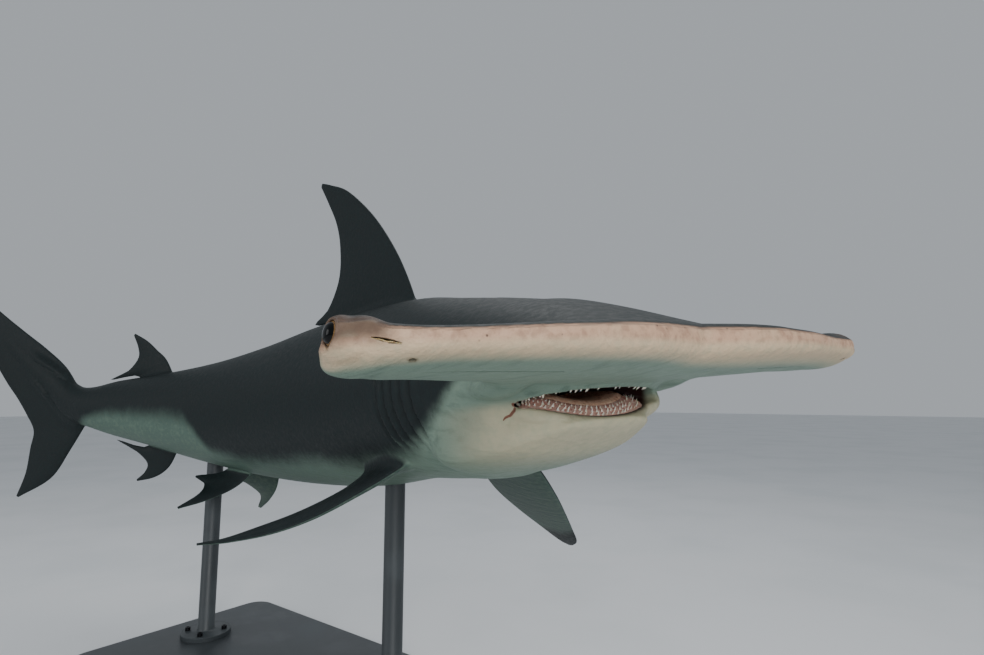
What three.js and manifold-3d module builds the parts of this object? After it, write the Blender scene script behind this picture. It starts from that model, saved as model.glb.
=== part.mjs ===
import * as THREE from 'three';
import { mergeVertices } from 'three/addons/utils/BufferGeometryUtils.js';
import Module from 'manifold-3d';

// Great hammerhead shark, held in a left turn above a flat display stand.
// Millimetres, +Z up, +X towards the head, origin at the centre of the base's underside.
// A place on the animal is given by fractions of its length: s back from the snout along the spine,
// l out to the animal's left and u up, both square to the spine.

const wasm = await Module();
wasm.setup();

// Driving dimensions
const LENGTH = 3400;
const GAP = 0.3;
const HAMMER_HALF = 0.128;
const EYE_RADIUS = 17;
const EYE_PLACE = { s: 0.0335, l: 0.1237, u: 0.0026 };
const RIDE_HEIGHT = 760;
const RIDE_S = 0.4;
const BASE = { length: 1500, width: 640, thick: 20, corner: 60, edge: 4 };
const ROD = { radius: 25, foot: 75, footThick: 14, chamfer: 3, sides: 24 };
const ROD_PLACES = { front: 0.285, rear: 0.54 };
const BODY_OFFSET = { x: -120, y: 83 };

// Pose: the head's attitude, then how fast the spine turns and lifts, in degrees per body length
const HEAD_YAW = -22.2;
const HEAD_PITCH = 4.4;
const HEAD_ROLL = 2.1;
const TURN = [[0.12, 0], [0.32, 127.8], [0.5, 84.2], [0.68, 31.5], [0.85, 5.7], [1, 1.1]];
const LIFT = [[0.12, 0], [0.32, -8.6], [0.5, -18.9], [0.68, -13.8], [0.85, -6.3], [1, -3.4]];

// Sections of the body: s, height above the spine, depth below it, half width
const BODY = [
  [0.115, 0.0388, 0.0485, 0.0485],
  [0.135, 0.0436, 0.0515, 0.05],
  [0.18, 0.0538, 0.0548, 0.0545],
  [0.23, 0.0645, 0.0566, 0.058],
  [0.3, 0.0705, 0.0645, 0.06],
  [0.38, 0.0695, 0.066, 0.058],
  [0.46, 0.0595, 0.0615, 0.051],
  [0.54, 0.0478, 0.0515, 0.041],
  [0.62, 0.0375, 0.038, 0.031],
  [0.68, 0.0298, 0.0288, 0.0225],
  [0.715, 0.0222, 0.022, 0.018],
  [0.745, 0.0205, 0.0195, 0.0145],
];
const CUTS = { neck: 0.135, torso: 0.249, hind: 0.455, stalk: 0.585, tail: 0.722 };

// Middle of the head, without the lower jaw
const SKULL = [
  [0.01, 0.004, 0.004, 0.03],
  [0.03, 0.012, 0.0095, 0.041],
  [0.055, 0.022, 0.0118, 0.0455],
  [0.08, 0.0305, 0.0155, 0.0475],
  [0.1, 0.035, 0.0245, 0.048],
  [0.115, 0.0388, 0.0385, 0.0485],
  [0.135, 0.0436, 0.0515, 0.05],
];

// Lower jaw: s, its top and underside below the spine, half width
const JAW = [
  [0.0603, -0.0256, -0.0268, 0.011],
  [0.0615, -0.025, -0.0284, 0.0178],
  [0.0645, -0.0245, -0.0305, 0.0248],
  [0.07, -0.023, -0.0334, 0.0308],
  [0.0775, -0.0212, -0.0366, 0.0358],
  [0.087, -0.0195, -0.041, 0.0398],
  [0.1, -0.0182, -0.0446, 0.0428],
  [0.118, -0.018, -0.0484, 0.0462],
  [0.135, -0.018, -0.0515, 0.0485],
];

// Upper jaw: a broad horseshoe under the snout, in the same columns
const UPPER_JAW = [
  [0.0535, -0.004, -0.0102, 0.012],
  [0.0553, -0.002, -0.0117, 0.021],
  [0.0585, 0, -0.0126, 0.0285],
  [0.0645, 0, -0.0134, 0.0352],
  [0.073, 0, -0.0147, 0.04],
  [0.083, 0, -0.0163, 0.0438],
  [0.096, 0, -0.018, 0.0465],
];

// Hammer: half thickness, front margin and hind margin against the distance out from the middle
const HAMMER_FRONT = [
  [0, 0.0102], [0.01, 0.0078], [0.03, 0.0042], [0.06, 0.0052], [0.078, 0.009], [0.09, 0.0118],
  [0.104, 0.0142], [0.112, 0.0166], [0.1185, 0.0206], [0.1242, 0.0264], [0.128, 0.034],
];
const HAMMER_BACK = [
  [0, 0.085], [0.035, 0.085], [0.05, 0.081], [0.062, 0.0755], [0.075, 0.0715], [0.09, 0.0668],
  [0.104, 0.0628], [0.114, 0.0588], [0.1208, 0.054], [0.1256, 0.0475], [0.128, 0.0405],
];
const HAMMER_HALF_THICK = [
  [0, 0.0088], [0.04, 0.0082], [0.07, 0.0071], [0.095, 0.0061], [0.105, 0.0063], [0.113, 0.0077],
  [0.119, 0.0083], [0.1235, 0.008], [0.1262, 0.0064], [0.1275, 0.0042], [0.128, 0.0018],
];

// Small helpers
const degrees = Math.PI / 180;
const lerp = (a, b, t) => a + (b - a) * t;

function linear(knots, x) {
  const last = knots.length - 1;
  if (x <= knots[0][0]) return knots[0][1];
  if (x >= knots[last][0]) return knots[last][1];
  const i = knots.findIndex((knot) => knot[0] > x);
  const [x0, y0] = knots[i - 1];
  const [x1, y1] = knots[i];
  return lerp(y0, y1, (x - x0) / (x1 - x0));
}

function slopeAt(knots, i, column) {
  const before = knots[Math.max(i - 1, 0)];
  const after = knots[Math.min(i + 1, knots.length - 1)];
  return (after[column] - before[column]) / (after[0] - before[0]);
}

function smooth(knots, x, column = 1) {
  const last = knots.length - 1;
  if (x <= knots[0][0]) return knots[0][column];
  if (x >= knots[last][0]) return knots[last][column];
  const i = knots.findIndex((knot) => knot[0] > x);
  const step = knots[i][0] - knots[i - 1][0];
  const t = (x - knots[i - 1][0]) / step;
  const start = knots[i - 1][column];
  const end = knots[i][column];
  const startSlope = slopeAt(knots, i - 1, column) * step;
  const endSlope = slopeAt(knots, i, column) * step;
  const t2 = t * t;
  const t3 = t2 * t;
  return start * (2 * t3 - 3 * t2 + 1) + startSlope * (t3 - 2 * t2 + t)
    + end * (3 * t2 - 2 * t3) + endSlope * (t3 - t2);
}

// Spine: a table of places and directions walked from the snout to past the tail
const SPINE_STEPS = 440;
const SPINE_STEP = 1.1 / SPINE_STEPS;

function walkSpine() {
  const table = [];
  const at = new THREE.Vector3();
  let turn = 0;
  let lift = 0;
  for (let i = 0; i <= SPINE_STEPS; i += 1) {
    table.push({ at: at.clone(), turn, lift });
    const middle = (i + 0.5) * SPINE_STEP;
    const bending = middle > TURN[0][0] ? 1 : 0;
    const turnHere = turn + bending * linear(TURN, middle) * SPINE_STEP * 0.5;
    const liftHere = lift + bending * linear(LIFT, middle) * SPINE_STEP * 0.5;
    at.x -= Math.cos(turnHere * degrees) * Math.cos(liftHere * degrees) * SPINE_STEP;
    at.y -= Math.sin(turnHere * degrees) * Math.cos(liftHere * degrees) * SPINE_STEP;
    at.z -= Math.sin(liftHere * degrees) * SPINE_STEP;
    turn += bending * linear(TURN, middle) * SPINE_STEP;
    lift += bending * linear(LIFT, middle) * SPINE_STEP;
  }
  return table;
}

const SPINE = walkSpine();

function attitude(yaw, pitch, roll) {
  return new THREE.Matrix4()
    .makeRotationZ(yaw * degrees)
    .multiply(new THREE.Matrix4().makeRotationY(-pitch * degrees))
    .multiply(new THREE.Matrix4().makeRotationX(roll * degrees));
}

const headAttitude = attitude(HEAD_YAW, HEAD_PITCH, HEAD_ROLL);

function bodyPoint(s, l, u) {
  const row = Math.min(Math.max(s / SPINE_STEP, 0), SPINE_STEPS - 1);
  const i = Math.floor(row);
  const t = row - i;
  const here = SPINE[i];
  const next = SPINE[i + 1];
  const local = attitude(lerp(here.turn, next.turn, t), lerp(here.lift, next.lift, t), 0);
  const across = new THREE.Vector3(0, l, u).applyMatrix4(local);
  const point = here.at.clone().lerp(next.at, t).add(across);
  return point.applyMatrix4(headAttitude).multiplyScalar(LENGTH);
}

const heldPoint = bodyPoint(RIDE_S, 0, 0);
const shift = new THREE.Vector3(BODY_OFFSET.x, BODY_OFFSET.y, RIDE_HEIGHT).sub(heldPoint);

function place(s, l, u) {
  return bodyPoint(s, l, u).add(shift);
}

function millimetres(distance) {
  return distance / LENGTH;
}

// Solids from points and triangles
function solidOf(points, triangles) {
  const make = (faces) => new wasm.Manifold(new wasm.Mesh({
    numProp: 3,
    vertProperties: new Float32Array(points.flatMap((point) => [point.x, point.y, point.z])),
    triVerts: new Uint32Array(faces.flat()),
  }));
  const solid = make(triangles);
  return solid.volume() > 0 ? solid : make(triangles.map(([a, b, c]) => [a, c, b]));
}

function solidOfGeometry(geometry) {
  geometry.deleteAttribute('normal');
  geometry.deleteAttribute('uv');
  const merged = mergeVertices(geometry, 1e-3);
  const flat = merged.attributes.position;
  const pointAt = (_, i) => new THREE.Vector3().fromBufferAttribute(flat, i);
  const points = Array.from({ length: flat.count }, pointAt);
  const triangles = [];
  for (let i = 0; i < merged.index.count; i += 3) {
    const [a, b, c] = [0, 1, 2].map((k) => merged.index.getX(i + k));
    if (a !== b && b !== c && c !== a) triangles.push([a, b, c]);
  }
  return solidOf(points, triangles);
}

function loft(rings) {
  const count = rings[0].length;
  const points = rings.flat();
  const triangles = [];
  for (let r = 0; r + 1 < rings.length; r += 1) {
    for (let k = 0; k < count; k += 1) {
      const a = r * count + k;
      const b = r * count + (k + 1) % count;
      triangles.push([a, b, b + count], [a, b + count, a + count]);
    }
  }
  const ends = [[0, rings[0], true], [(rings.length - 1) * count, rings.at(-1), false]];
  for (const [first, ring, turned] of ends) {
    const middle = points.length;
    points.push(ring.reduce((sum, point) => sum.add(point), new THREE.Vector3()).divideScalar(count));
    for (let k = 0; k < count; k += 1) {
      const a = first + k;
      const b = first + (k + 1) % count;
      triangles.push(turned ? [middle, b, a] : [middle, a, b]);
    }
  }
  return solidOf(points, triangles);
}

// A plate between two faces that are triangulated alike: grid[row][column] holds a middle point,
// its normal and its half thickness
function plate(grid) {
  const rows = grid.length;
  const columns = grid[0].length;
  const face = (sign) => grid.flat().map(({ point, normal, half }) => (
    point.clone().addScaledVector(normal, sign * half)));
  const points = [...face(1), ...face(-1)];
  const under = rows * columns;
  const index = (r, c) => r * columns + c;
  const triangles = [];
  const quad = (a, b, c, d) => triangles.push([a, b, c], [a, c, d]);
  for (let r = 0; r + 1 < rows; r += 1) {
    for (let c = 0; c + 1 < columns; c += 1) {
      const [a, b, d, e] = [index(r, c), index(r, c + 1), index(r + 1, c + 1), index(r + 1, c)];
      triangles.push([a, b, d], [a, d, e]);
      triangles.push([under + a, under + d, under + b], [under + a, under + e, under + d]);
    }
    quad(index(r, 0), index(r + 1, 0), under + index(r + 1, 0), under + index(r, 0));
    const end = columns - 1;
    quad(index(r + 1, end), index(r, end), under + index(r, end), under + index(r + 1, end));
  }
  for (let c = 0; c + 1 < columns; c += 1) {
    quad(index(0, c + 1), index(0, c), under + index(0, c), under + index(0, c + 1));
    const tip = rows - 1;
    quad(index(tip, c), index(tip, c + 1), under + index(tip, c + 1), under + index(tip, c));
  }
  return solidOf(points, triangles);
}

function gridNormals(grid) {
  grid.forEach((row, r) => row.forEach((cell, c) => {
    const ahead = row[Math.min(c + 1, row.length - 1)].point;
    const along = ahead.clone().sub(row[Math.max(c - 1, 0)].point);
    const above = grid[Math.min(r + 1, grid.length - 1)][c].point;
    const out = above.clone().sub(grid[Math.max(r - 1, 0)][c].point);
    cell.normal = along.cross(out).normalize();
  }));
  return grid;
}

// A node keeps the largest closed surface that its cuts leave
function largest(solid) {
  const pieces = solid.decompose();
  return pieces.reduce((best, piece) => (piece.volume() > best.volume() ? piece : best));
}

// Body sections
const RING_SIDES = 26;
const BELLY_FULLNESS = 0.93;
const BACK_FULLNESS = 1.04;

function section(s, middle, top, bottom, halfWidth, sides, fullTop, fullBottom) {
  return Array.from({ length: sides }, (_, k) => {
    const angle = (2 * Math.PI * k) / sides;
    const across = Math.cos(angle);
    const up = Math.sin(angle);
    const power = up > 0 ? fullTop : fullBottom;
    const l = halfWidth * Math.sign(across) * Math.abs(across) ** power;
    const u = up > 0 ? top * up ** power : bottom * -(Math.abs(up) ** power);
    return place(s, l, middle + u);
  });
}

function bodyRing(s, grown) {
  const [top, bottom, half] = [1, 2, 3].map((column) => smooth(BODY, s, column) + millimetres(grown));
  return section(s, 0, top, bottom, half, RING_SIDES, BACK_FULLNESS, BELLY_FULLNESS);
}

function bodyLength(from, to, step = 0.018, grown = 0) {
  const count = Math.max(2, Math.round((to - from) / step));
  return loft(Array.from({ length: count + 1 }, (_, i) => bodyRing(lerp(from, to, i / count), grown)));
}

const halfGap = millimetres(GAP / 2);
const BODY_END = 0.745;
const clearOfBody = bodyLength(CUTS.neck - 0.02, BODY_END, 0.01, GAP);

// Head
const SKULL_SIDES = 28;
const SKULL_STATIONS = [
  0.017, 0.025, 0.035, 0.045, 0.056, 0.068, 0.08, 0.092, 0.104, 0.116, 0.126, CUTS.neck - halfGap,
];
const SKULL_UNDERSIDE = 0.72;
const HAMMER_COLUMNS = 32;
const HAMMER_SIDES = 22;
const TRAILING_DROOP = 0.0055;
const BULB_START = 0.104;
const TIP_LIFT = 0.0014;

function skull() {
  return loft(SKULL_STATIONS.map((s) => {
    const [top, bottom, half] = [1, 2, 3].map((column) => smooth(SKULL, s, column));
    const settled = THREE.MathUtils.smoothstep(s, 0.1, 0.13);
    const fullBottom = lerp(SKULL_UNDERSIDE, BELLY_FULLNESS, settled);
    return section(s, 0, top, bottom, half, SKULL_SIDES, BACK_FULLNESS, fullBottom);
  }));
}

function hammerSection(l) {
  const out = Math.abs(l);
  const front = smooth(HAMMER_FRONT, out);
  const back = smooth(HAMMER_BACK, out);
  const half = smooth(HAMMER_HALF_THICK, out);
  const bulb = THREE.MathUtils.smoothstep(out, BULB_START, HAMMER_HALF);
  return Array.from({ length: HAMMER_SIDES }, (_, k) => {
    const angle = (2 * Math.PI * k) / HAMMER_SIDES;
    const chord = 0.5 - 0.5 * Math.cos(angle);
    const wing = 1.79 * chord ** 0.3 * (1 - chord) ** 0.62;
    const round = Math.sqrt(Math.max(0, 1 - (2 * chord - 1) ** 2));
    const onEdge = k % (HAMMER_SIDES / 2) === 0;
    const thickness = onEdge ? 0 : half * lerp(wing, round, bulb) * Math.sign(Math.sin(angle));
    const droop = TIP_LIFT * bulb - TRAILING_DROOP * chord * (1 - 0.7 * bulb);
    return place(lerp(front, back, chord), l, droop + thickness);
  });
}

function hammer() {
  const rings = [];
  for (let i = 0; i <= HAMMER_COLUMNS; i += 1) {
    const across = -Math.cos((Math.PI * i) / HAMMER_COLUMNS);
    const eased = lerp((2 * i) / HAMMER_COLUMNS - 1, across, 0.72);
    rings.push(hammerSection(HAMMER_HALF * eased));
  }
  return loft(rings);
}

function jawBlock(table, stations, fullTop, fullBottom) {
  return loft(stations.map((s) => {
    const [top, bottom, half] = [1, 2, 3].map((column) => smooth(table, s, column));
    const middle = (top + bottom) / 2;
    return section(s, middle, top - middle, middle - bottom, half, 22, fullTop, fullBottom);
  }));
}

const JAW_STATIONS = [0.0603, 0.0615, 0.064, 0.0685, 0.0745, 0.082, 0.092, 0.106, 0.122, CUTS.neck - halfGap];
const UPPER_JAW_STATIONS = [0.0535, 0.055, 0.058, 0.063, 0.07, 0.078, 0.087, 0.096];
const lowerJawBlock = () => jawBlock(JAW, JAW_STATIONS, 0.5, 0.86);
const upperJawBlock = () => jawBlock(UPPER_JAW, UPPER_JAW_STATIONS, 0.8, 0.5);

// Cheek: the fold of skin that closes the mouth behind each corner
const cheek = (side) => ellipsoid([0.0945, side * 0.041, -0.0187], [0.018, 0.0075, 0.0062], 10);

// Lips run round the mouth as a horseshoe: 0 is the animal's right corner, 1 its left one
const LIP_CORNER = 0.0885;
const LIP_ROUNDNESS = 0.68;

function lipArc({ front, half, frontUp, cornerUp, gape }) {
  return (t) => {
    const angle = Math.PI * t;
    const forward = Math.max(Math.sin(angle), 0);
    const s = lerp(LIP_CORNER, front, forward ** LIP_ROUNDNESS);
    return [s, -half * Math.cos(angle), lerp(cornerUp, frontUp, forward ** gape)];
  };
}

const upperLip = lipArc({ front: 0.0566, half: 0.0375, frontUp: -0.0112, cornerUp: -0.0175, gape: 1.15 });
const lowerLip = lipArc({ front: 0.0635, half: 0.0355, frontUp: -0.0266, cornerUp: -0.0196, gape: 2 });

function tube(path, radius, steps, sides, from = 0, to = 1) {
  const rings = [];
  for (let i = 0; i <= steps; i += 1) {
    const t = lerp(from, to, i / steps);
    const here = place(...path(t));
    const ahead = place(...path(t + 0.01));
    const behind = place(...path(t - 0.01));
    const forward = ahead.sub(behind).normalize();
    const up = new THREE.Vector3(0, 0, 1);
    const side = forward.clone().cross(up).normalize();
    const lift = side.clone().cross(forward).normalize();
    const wide = radius(t);
    rings.push(Array.from({ length: sides }, (_, k) => {
      const angle = (2 * Math.PI * k) / sides;
      const out = side.clone().multiplyScalar(wide * Math.cos(angle));
      return out.addScaledVector(lift, wide * Math.sin(angle)).add(here);
    }));
  }
  return loft(rings);
}

// Teeth stand in a row along a lip, leaning back into the mouth
const TOOTH = { width: 9, depth: 5, tall: 15, inward: 0.0019, lean: 0.0012, rootIn: 0.955, tipIn: 0.94 };

function tooth(path, t, direction, scale) {
  const [s, l, u] = path(t);
  const tall = direction * millimetres(TOOTH.tall * scale);
  const root = place(s + TOOTH.inward, l * TOOTH.rootIn, u);
  const tip = place(s + TOOTH.inward + TOOTH.lean, l * TOOTH.tipIn, u + tall);
  const along = place(...path(t + 0.01)).sub(place(...path(t - 0.01))).normalize();
  const upward = tip.clone().sub(root).normalize();
  const out = along.clone().cross(upward).normalize();
  const half = TOOTH.width * 0.5 * scale;
  const deep = TOOTH.depth * 0.5 * scale;
  const corners = [[-half, 0], [0, deep], [half, 0], [0, -deep]].map(([a, b]) => (
    root.clone().addScaledVector(along, a).addScaledVector(out, b)));
  const triangles = [[0, 2, 1], [0, 3, 2], [0, 1, 4], [1, 2, 4], [2, 3, 4], [3, 0, 4]];
  return solidOf([...corners, tip], triangles);
}

function teeth(path, direction, count, from, to) {
  let row = null;
  for (let i = 0; i < count; i += 1) {
    const t = lerp(from, to, i / (count - 1));
    const wobble = 0.5 + 0.5 * Math.sin(i * 2.4);
    const scale = lerp(0.72, 1, Math.sin(Math.PI * t)) * lerp(0.86, 1.04, wobble);
    const one = tooth(path, t, direction, scale);
    row = row ? row.add(one) : one;
  }
  return row;
}

// Inside of the mouth, and the tongue as a low pad on its floor
const mouthHollow = () => ellipsoid([0.0925, 0, -0.0162], [0.0272, 0.0318, 0.0072], 20);
const tongue = () => ellipsoid([0.086, 0, -0.0226], [0.0175, 0.0215, 0.0048], 14);

function ellipsoid(centre, semi, segments = 24) {
  const ball = new THREE.SphereGeometry(1, segments, Math.round(segments / 2));
  const flat = ball.attributes.position;
  for (let i = 0; i < flat.count; i += 1) {
    const [x, y, z] = [flat.getX(i), flat.getY(i), flat.getZ(i)];
    const point = place(centre[0] + semi[0] * x, centre[1] + semi[1] * y, centre[2] + semi[2] * z);
    flat.setXYZ(i, point.x, point.y, point.z);
  }
  return solidOfGeometry(ball);
}

function sphereAt(centre, radius, segments = 24) {
  const ball = new THREE.SphereGeometry(radius, segments, Math.round(segments * 0.6));
  ball.translate(centre.x, centre.y, centre.z);
  return solidOfGeometry(ball);
}

// Thin cut between the upper head and the lower jaw, from in front of the mouth down to the throat
const JAW_CUT = [
  [0.04, -0.019], [0.075, -0.019], [0.0885, -0.0185], [0.104, -0.0195], [0.119, -0.027], [0.128, -0.041],
  [0.131, -0.07],
];
const JAW_CUT_REACH = 0.09;

function jawCut() {
  const grid = JAW_CUT.map(([s, u], i) => {
    const [before, after] = [JAW_CUT[Math.max(i - 1, 0)], JAW_CUT[Math.min(i + 1, JAW_CUT.length - 1)]];
    const run = Math.hypot(after[0] - before[0], after[1] - before[1]);
    const offset = [(halfGap * (after[1] - before[1])) / run, (halfGap * (after[0] - before[0])) / run];
    return { s, u, offset };
  });
  const ring = [-JAW_CUT_REACH, JAW_CUT_REACH].map((l) => [
    ...grid.map(({ s, u, offset }) => place(s - offset[0], l, u + offset[1])),
    ...grid.toReversed().map(({ s, u, offset }) => place(s + offset[0], l, u - offset[1])),
  ]);
  const count = ring[0].length;
  const triangles = [];
  for (let k = 0; k < count; k += 1) {
    const next = (k + 1) % count;
    triangles.push([k, next, next + count], [k, next + count, k + count]);
  }
  for (let k = 0; k + 1 < JAW_CUT.length; k += 1) {
    const far = count - 1 - k;
    triangles.push([k, far, far - 1], [k, far - 1, k + 1]);
    triangles.push([count + k, count + far - 1, count + far], [count + k, count + k + 1, count + far - 1]);
  }
  return solidOf(ring.flat(), triangles);
}

// Nostril: a slanted slit in the front margin close to the tip, with a groove running inwards from it
function nostril(side) {
  const slitPath = (t) => [lerp(0.0212, 0.0152, t), side * lerp(0.1195, 0.1065, t), lerp(0.0004, -0.0022, t)];
  const slit = tube(slitPath, (t) => 2.5 + 4 * Math.sin(Math.PI * t), 6, 7);
  const groovePath = (t) => {
    const out = lerp(0.108, 0.076, t);
    return [smooth(HAMMER_FRONT, out) - 0.0002, side * out, -0.0016];
  };
  return slit.add(tube(groovePath, (t) => lerp(3.2, 1.2, t), 6, 6));
}

function eyeCentre(side) {
  return place(EYE_PLACE.s, side * EYE_PLACE.l, EYE_PLACE.u);
}

const EYE_SIDES = 16;
const LID = { wide: 18.6, tall: 14.2, radius: 4, proud: 0.5, steps: 18, sides: 5 };

// Lids: a raised oval rim that lies on the eyeball where it leaves the head
function lidRim(side) {
  const centre = eyeCentre(side);
  const out = place(EYE_PLACE.s, side, EYE_PLACE.u).sub(centre).normalize();
  const back = place(EYE_PLACE.s + 0.1, side * EYE_PLACE.l, EYE_PLACE.u).sub(centre).normalize();
  const up = out.clone().cross(back).normalize();
  const { steps, sides } = LID;
  const rings = [];
  for (let i = 0; i < steps; i += 1) {
    const angle = (2 * Math.PI * i) / steps;
    const spoke = back.clone().multiplyScalar(LID.wide * Math.cos(angle));
    spoke.addScaledVector(up, LID.tall * Math.sin(angle));
    const reach = Math.sqrt(EYE_RADIUS ** 2 - Math.min(spoke.lengthSq(), EYE_RADIUS ** 2 * 0.88));
    const middle = centre.clone().add(spoke).addScaledVector(out, reach + LID.proud);
    const away = spoke.clone().normalize();
    rings.push(Array.from({ length: sides }, (_, k) => {
      const round = (2 * Math.PI * k) / sides;
      const point = middle.clone().addScaledVector(away, LID.radius * Math.cos(round));
      return point.addScaledVector(out, LID.radius * Math.sin(round));
    }));
  }
  const triangles = [];
  for (let i = 0; i < steps; i += 1) {
    for (let k = 0; k < sides; k += 1) {
      const [a, b] = [i * sides + k, i * sides + (k + 1) % sides];
      const [c, d] = [((i + 1) % steps) * sides + (k + 1) % sides, ((i + 1) % steps) * sides + k];
      triangles.push([a, b, c], [a, c, d]);
    }
  }
  return solidOf(rings.flat(), triangles);
}

const SIDES = [['right', -1], ['left', 1]];

function headAndJaw() {
  const lipRadius = (t) => 7.5 * lerp(0.62, 1, Math.sin(Math.PI * t));
  let whole = skull().add(hammer()).add(lowerJawBlock()).add(upperJawBlock());
  whole = whole.add(tube(upperLip, lipRadius, 16, 6));
  whole = whole.add(tube(lowerLip, lipRadius, 16, 6));
  whole = whole.subtract(mouthHollow());
  whole = whole.add(teeth(upperLip, -1, 25, 0.12, 0.88));
  whole = whole.add(teeth(lowerLip, 1, 25, 0.12, 0.88));
  for (const [, side] of SIDES) {
    whole = whole.add(cheek(side)).add(lidRim(side));
    whole = whole.subtract(sphereAt(eyeCentre(side), EYE_RADIUS + GAP, EYE_SIDES));
    whole = whole.subtract(nostril(side));
  }
  const [head, jaw] = whole.subtract(jawCut()).decompose().sort((a, b) => b.volume() - a.volume());
  return [head, largest(jaw.add(tongue()))];
}

// Gill slits: five curved cuts on each side, each behind a thin flap that stands a little proud
const GILL_PLACES = [0.1535, 0.164, 0.1745, 0.1845, 0.194];
const GILLS = { top: 0.019, bottom: -0.034, proud: 7, depth: 16, wide: 6, slant: 0.0032 };

function gillSurface(s, u, side, out) {
  const height = u > 0 ? smooth(BODY, s, 1) : smooth(BODY, s, 2);
  const across = smooth(BODY, s, 3) * Math.sqrt(Math.max(0, 1 - (u / height) ** 2));
  return place(s, side * (across + millimetres(out)), u);
}

function gillRibbon(s, side) {
  const rows = 5;
  const grid = Array.from({ length: rows }, (_, r) => {
    const t = r / (rows - 1);
    const u = lerp(GILLS.top, GILLS.bottom, t);
    const bow = 0.0035 * Math.sin(Math.PI * t) - 0.006 * t * t;
    const taper = lerp(0.35, 1, Math.sin(Math.PI * lerp(0.08, 0.92, t)));
    const outer = gillSurface(s + bow + GILLS.slant / 2, u, side, GILLS.proud);
    const inner = gillSurface(s + bow - GILLS.slant, u, side, -GILLS.depth * taper);
    return [outer, inner].map((point) => ({ point, half: (GILLS.wide / 2) * taper }));
  });
  return plate(gridNormals(grid));
}

function neck() {
  let solid = bodyLength(CUTS.neck + halfGap, CUTS.torso - halfGap, 0.0135);
  for (const [, side] of SIDES) {
    for (const s of GILL_PLACES) solid = solid.subtract(gillRibbon(s, side));
  }
  return solid;
}

// Fins: leading and trailing edges run from inside the body out to the tip. A place on an edge that
// comes with no time is spread evenly from root, 0, to tip, 1.
function path(points) {
  const last = points.length - 1;
  const knots = points.map((point, i) => (point.length === 3 ? [i / last, ...point] : point));
  return (t) => [1, 2, 3].map((column) => smooth(knots, t, column));
}

const FIN_EDGE = 1.1;
const FIN_TIMES = [0, 0.05, 0.1, 0.14, 0.17, 0.21, 0.26, 0.33, 0.42, 0.53, 0.66, 0.8, 0.92, 1];

function finHalfThickness(full, chord) {
  const bulge = 1.9 * Math.max(chord, 0) ** 0.55 * Math.max(1 - chord, 0) ** 0.95;
  return FIN_EDGE + Math.max(full / 2 - FIN_EDGE, 0) * bulge;
}

function fin({ lead, trail, thick }, columns = 7, times = FIN_TIMES) {
  const front = path(lead);
  const rear = path(trail);
  const grid = times.map((t) => {
    const [a, b] = [front(t), rear(t)];
    return Array.from({ length: columns + 1 }, (_, c) => {
      const chord = 0.5 - 0.5 * Math.cos((Math.PI * c) / columns);
      const point = place(...[0, 1, 2].map((k) => lerp(a[k], b[k], chord)));
      return { point, half: finHalfThickness(smooth(thick, t), chord) };
    });
  });
  return plate(gridNormals(grid));
}

const FIRST_DORSAL = {
  lead: [
    [0.243, 0, 0.05], [0.2627, 0, 0.0891], [0.2838, 0, 0.12], [0.3137, -0.0003, 0.1541],
    [0.3496, -0.001, 0.185], [0.3745, -0.0018, 0.1978], [0.3885, -0.002, 0.2035],
  ],
  trail: [
    [0, 0.352, 0, 0.045], [0.1, 0.372, 0, 0.0695], [0.17, 0.4035, 0, 0.0728], [0.25, 0.384, 0, 0.0845],
    [0.35, 0.3675, 0, 0.108], [0.5, 0.364, -0.0003, 0.1355], [0.68, 0.368, -0.001, 0.159],
    [0.86, 0.379, -0.0018, 0.181], [1, 0.3905, -0.002, 0.2],
  ],
  thick: [[0, 40], [0.5, 24], [1, 7]],
};
const SECOND_DORSAL = {
  lead: [
    [0.602, 0, 0.028], [0.6185, 0, 0.0518], [0.634, 0, 0.063], [0.65, 0, 0.0735], [0.6685, 0, 0.0815],
  ],
  trail: [
    [0, 0.642, 0, 0.022], [0.2, 0.66, 0, 0.0355], [0.32, 0.6925, 0, 0.0332], [0.45, 0.672, 0, 0.0405],
    [0.6, 0.6605, 0, 0.0535], [0.8, 0.6615, 0, 0.0655], [1, 0.67, 0, 0.0795],
  ],
  thick: [[0, 24], [0.5, 15], [1, 5]],
};
const ANAL = {
  lead: [
    [0.587, 0, -0.028], [0.598, 0, -0.0525], [0.6085, 0, -0.0635], [0.623, 0, -0.0705], [0.6425, 0, -0.0748],
  ],
  trail: [
    [0, 0.617, 0, -0.022], [0.2, 0.638, 0, -0.0395], [0.32, 0.6725, 0, -0.037], [0.45, 0.65, 0, -0.0435],
    [0.6, 0.6325, 0, -0.0545], [0.8, 0.6335, 0, -0.0645], [1, 0.6437, 0, -0.0732],
  ],
  thick: [[0, 22], [0.5, 14], [1, 5]],
};

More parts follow.
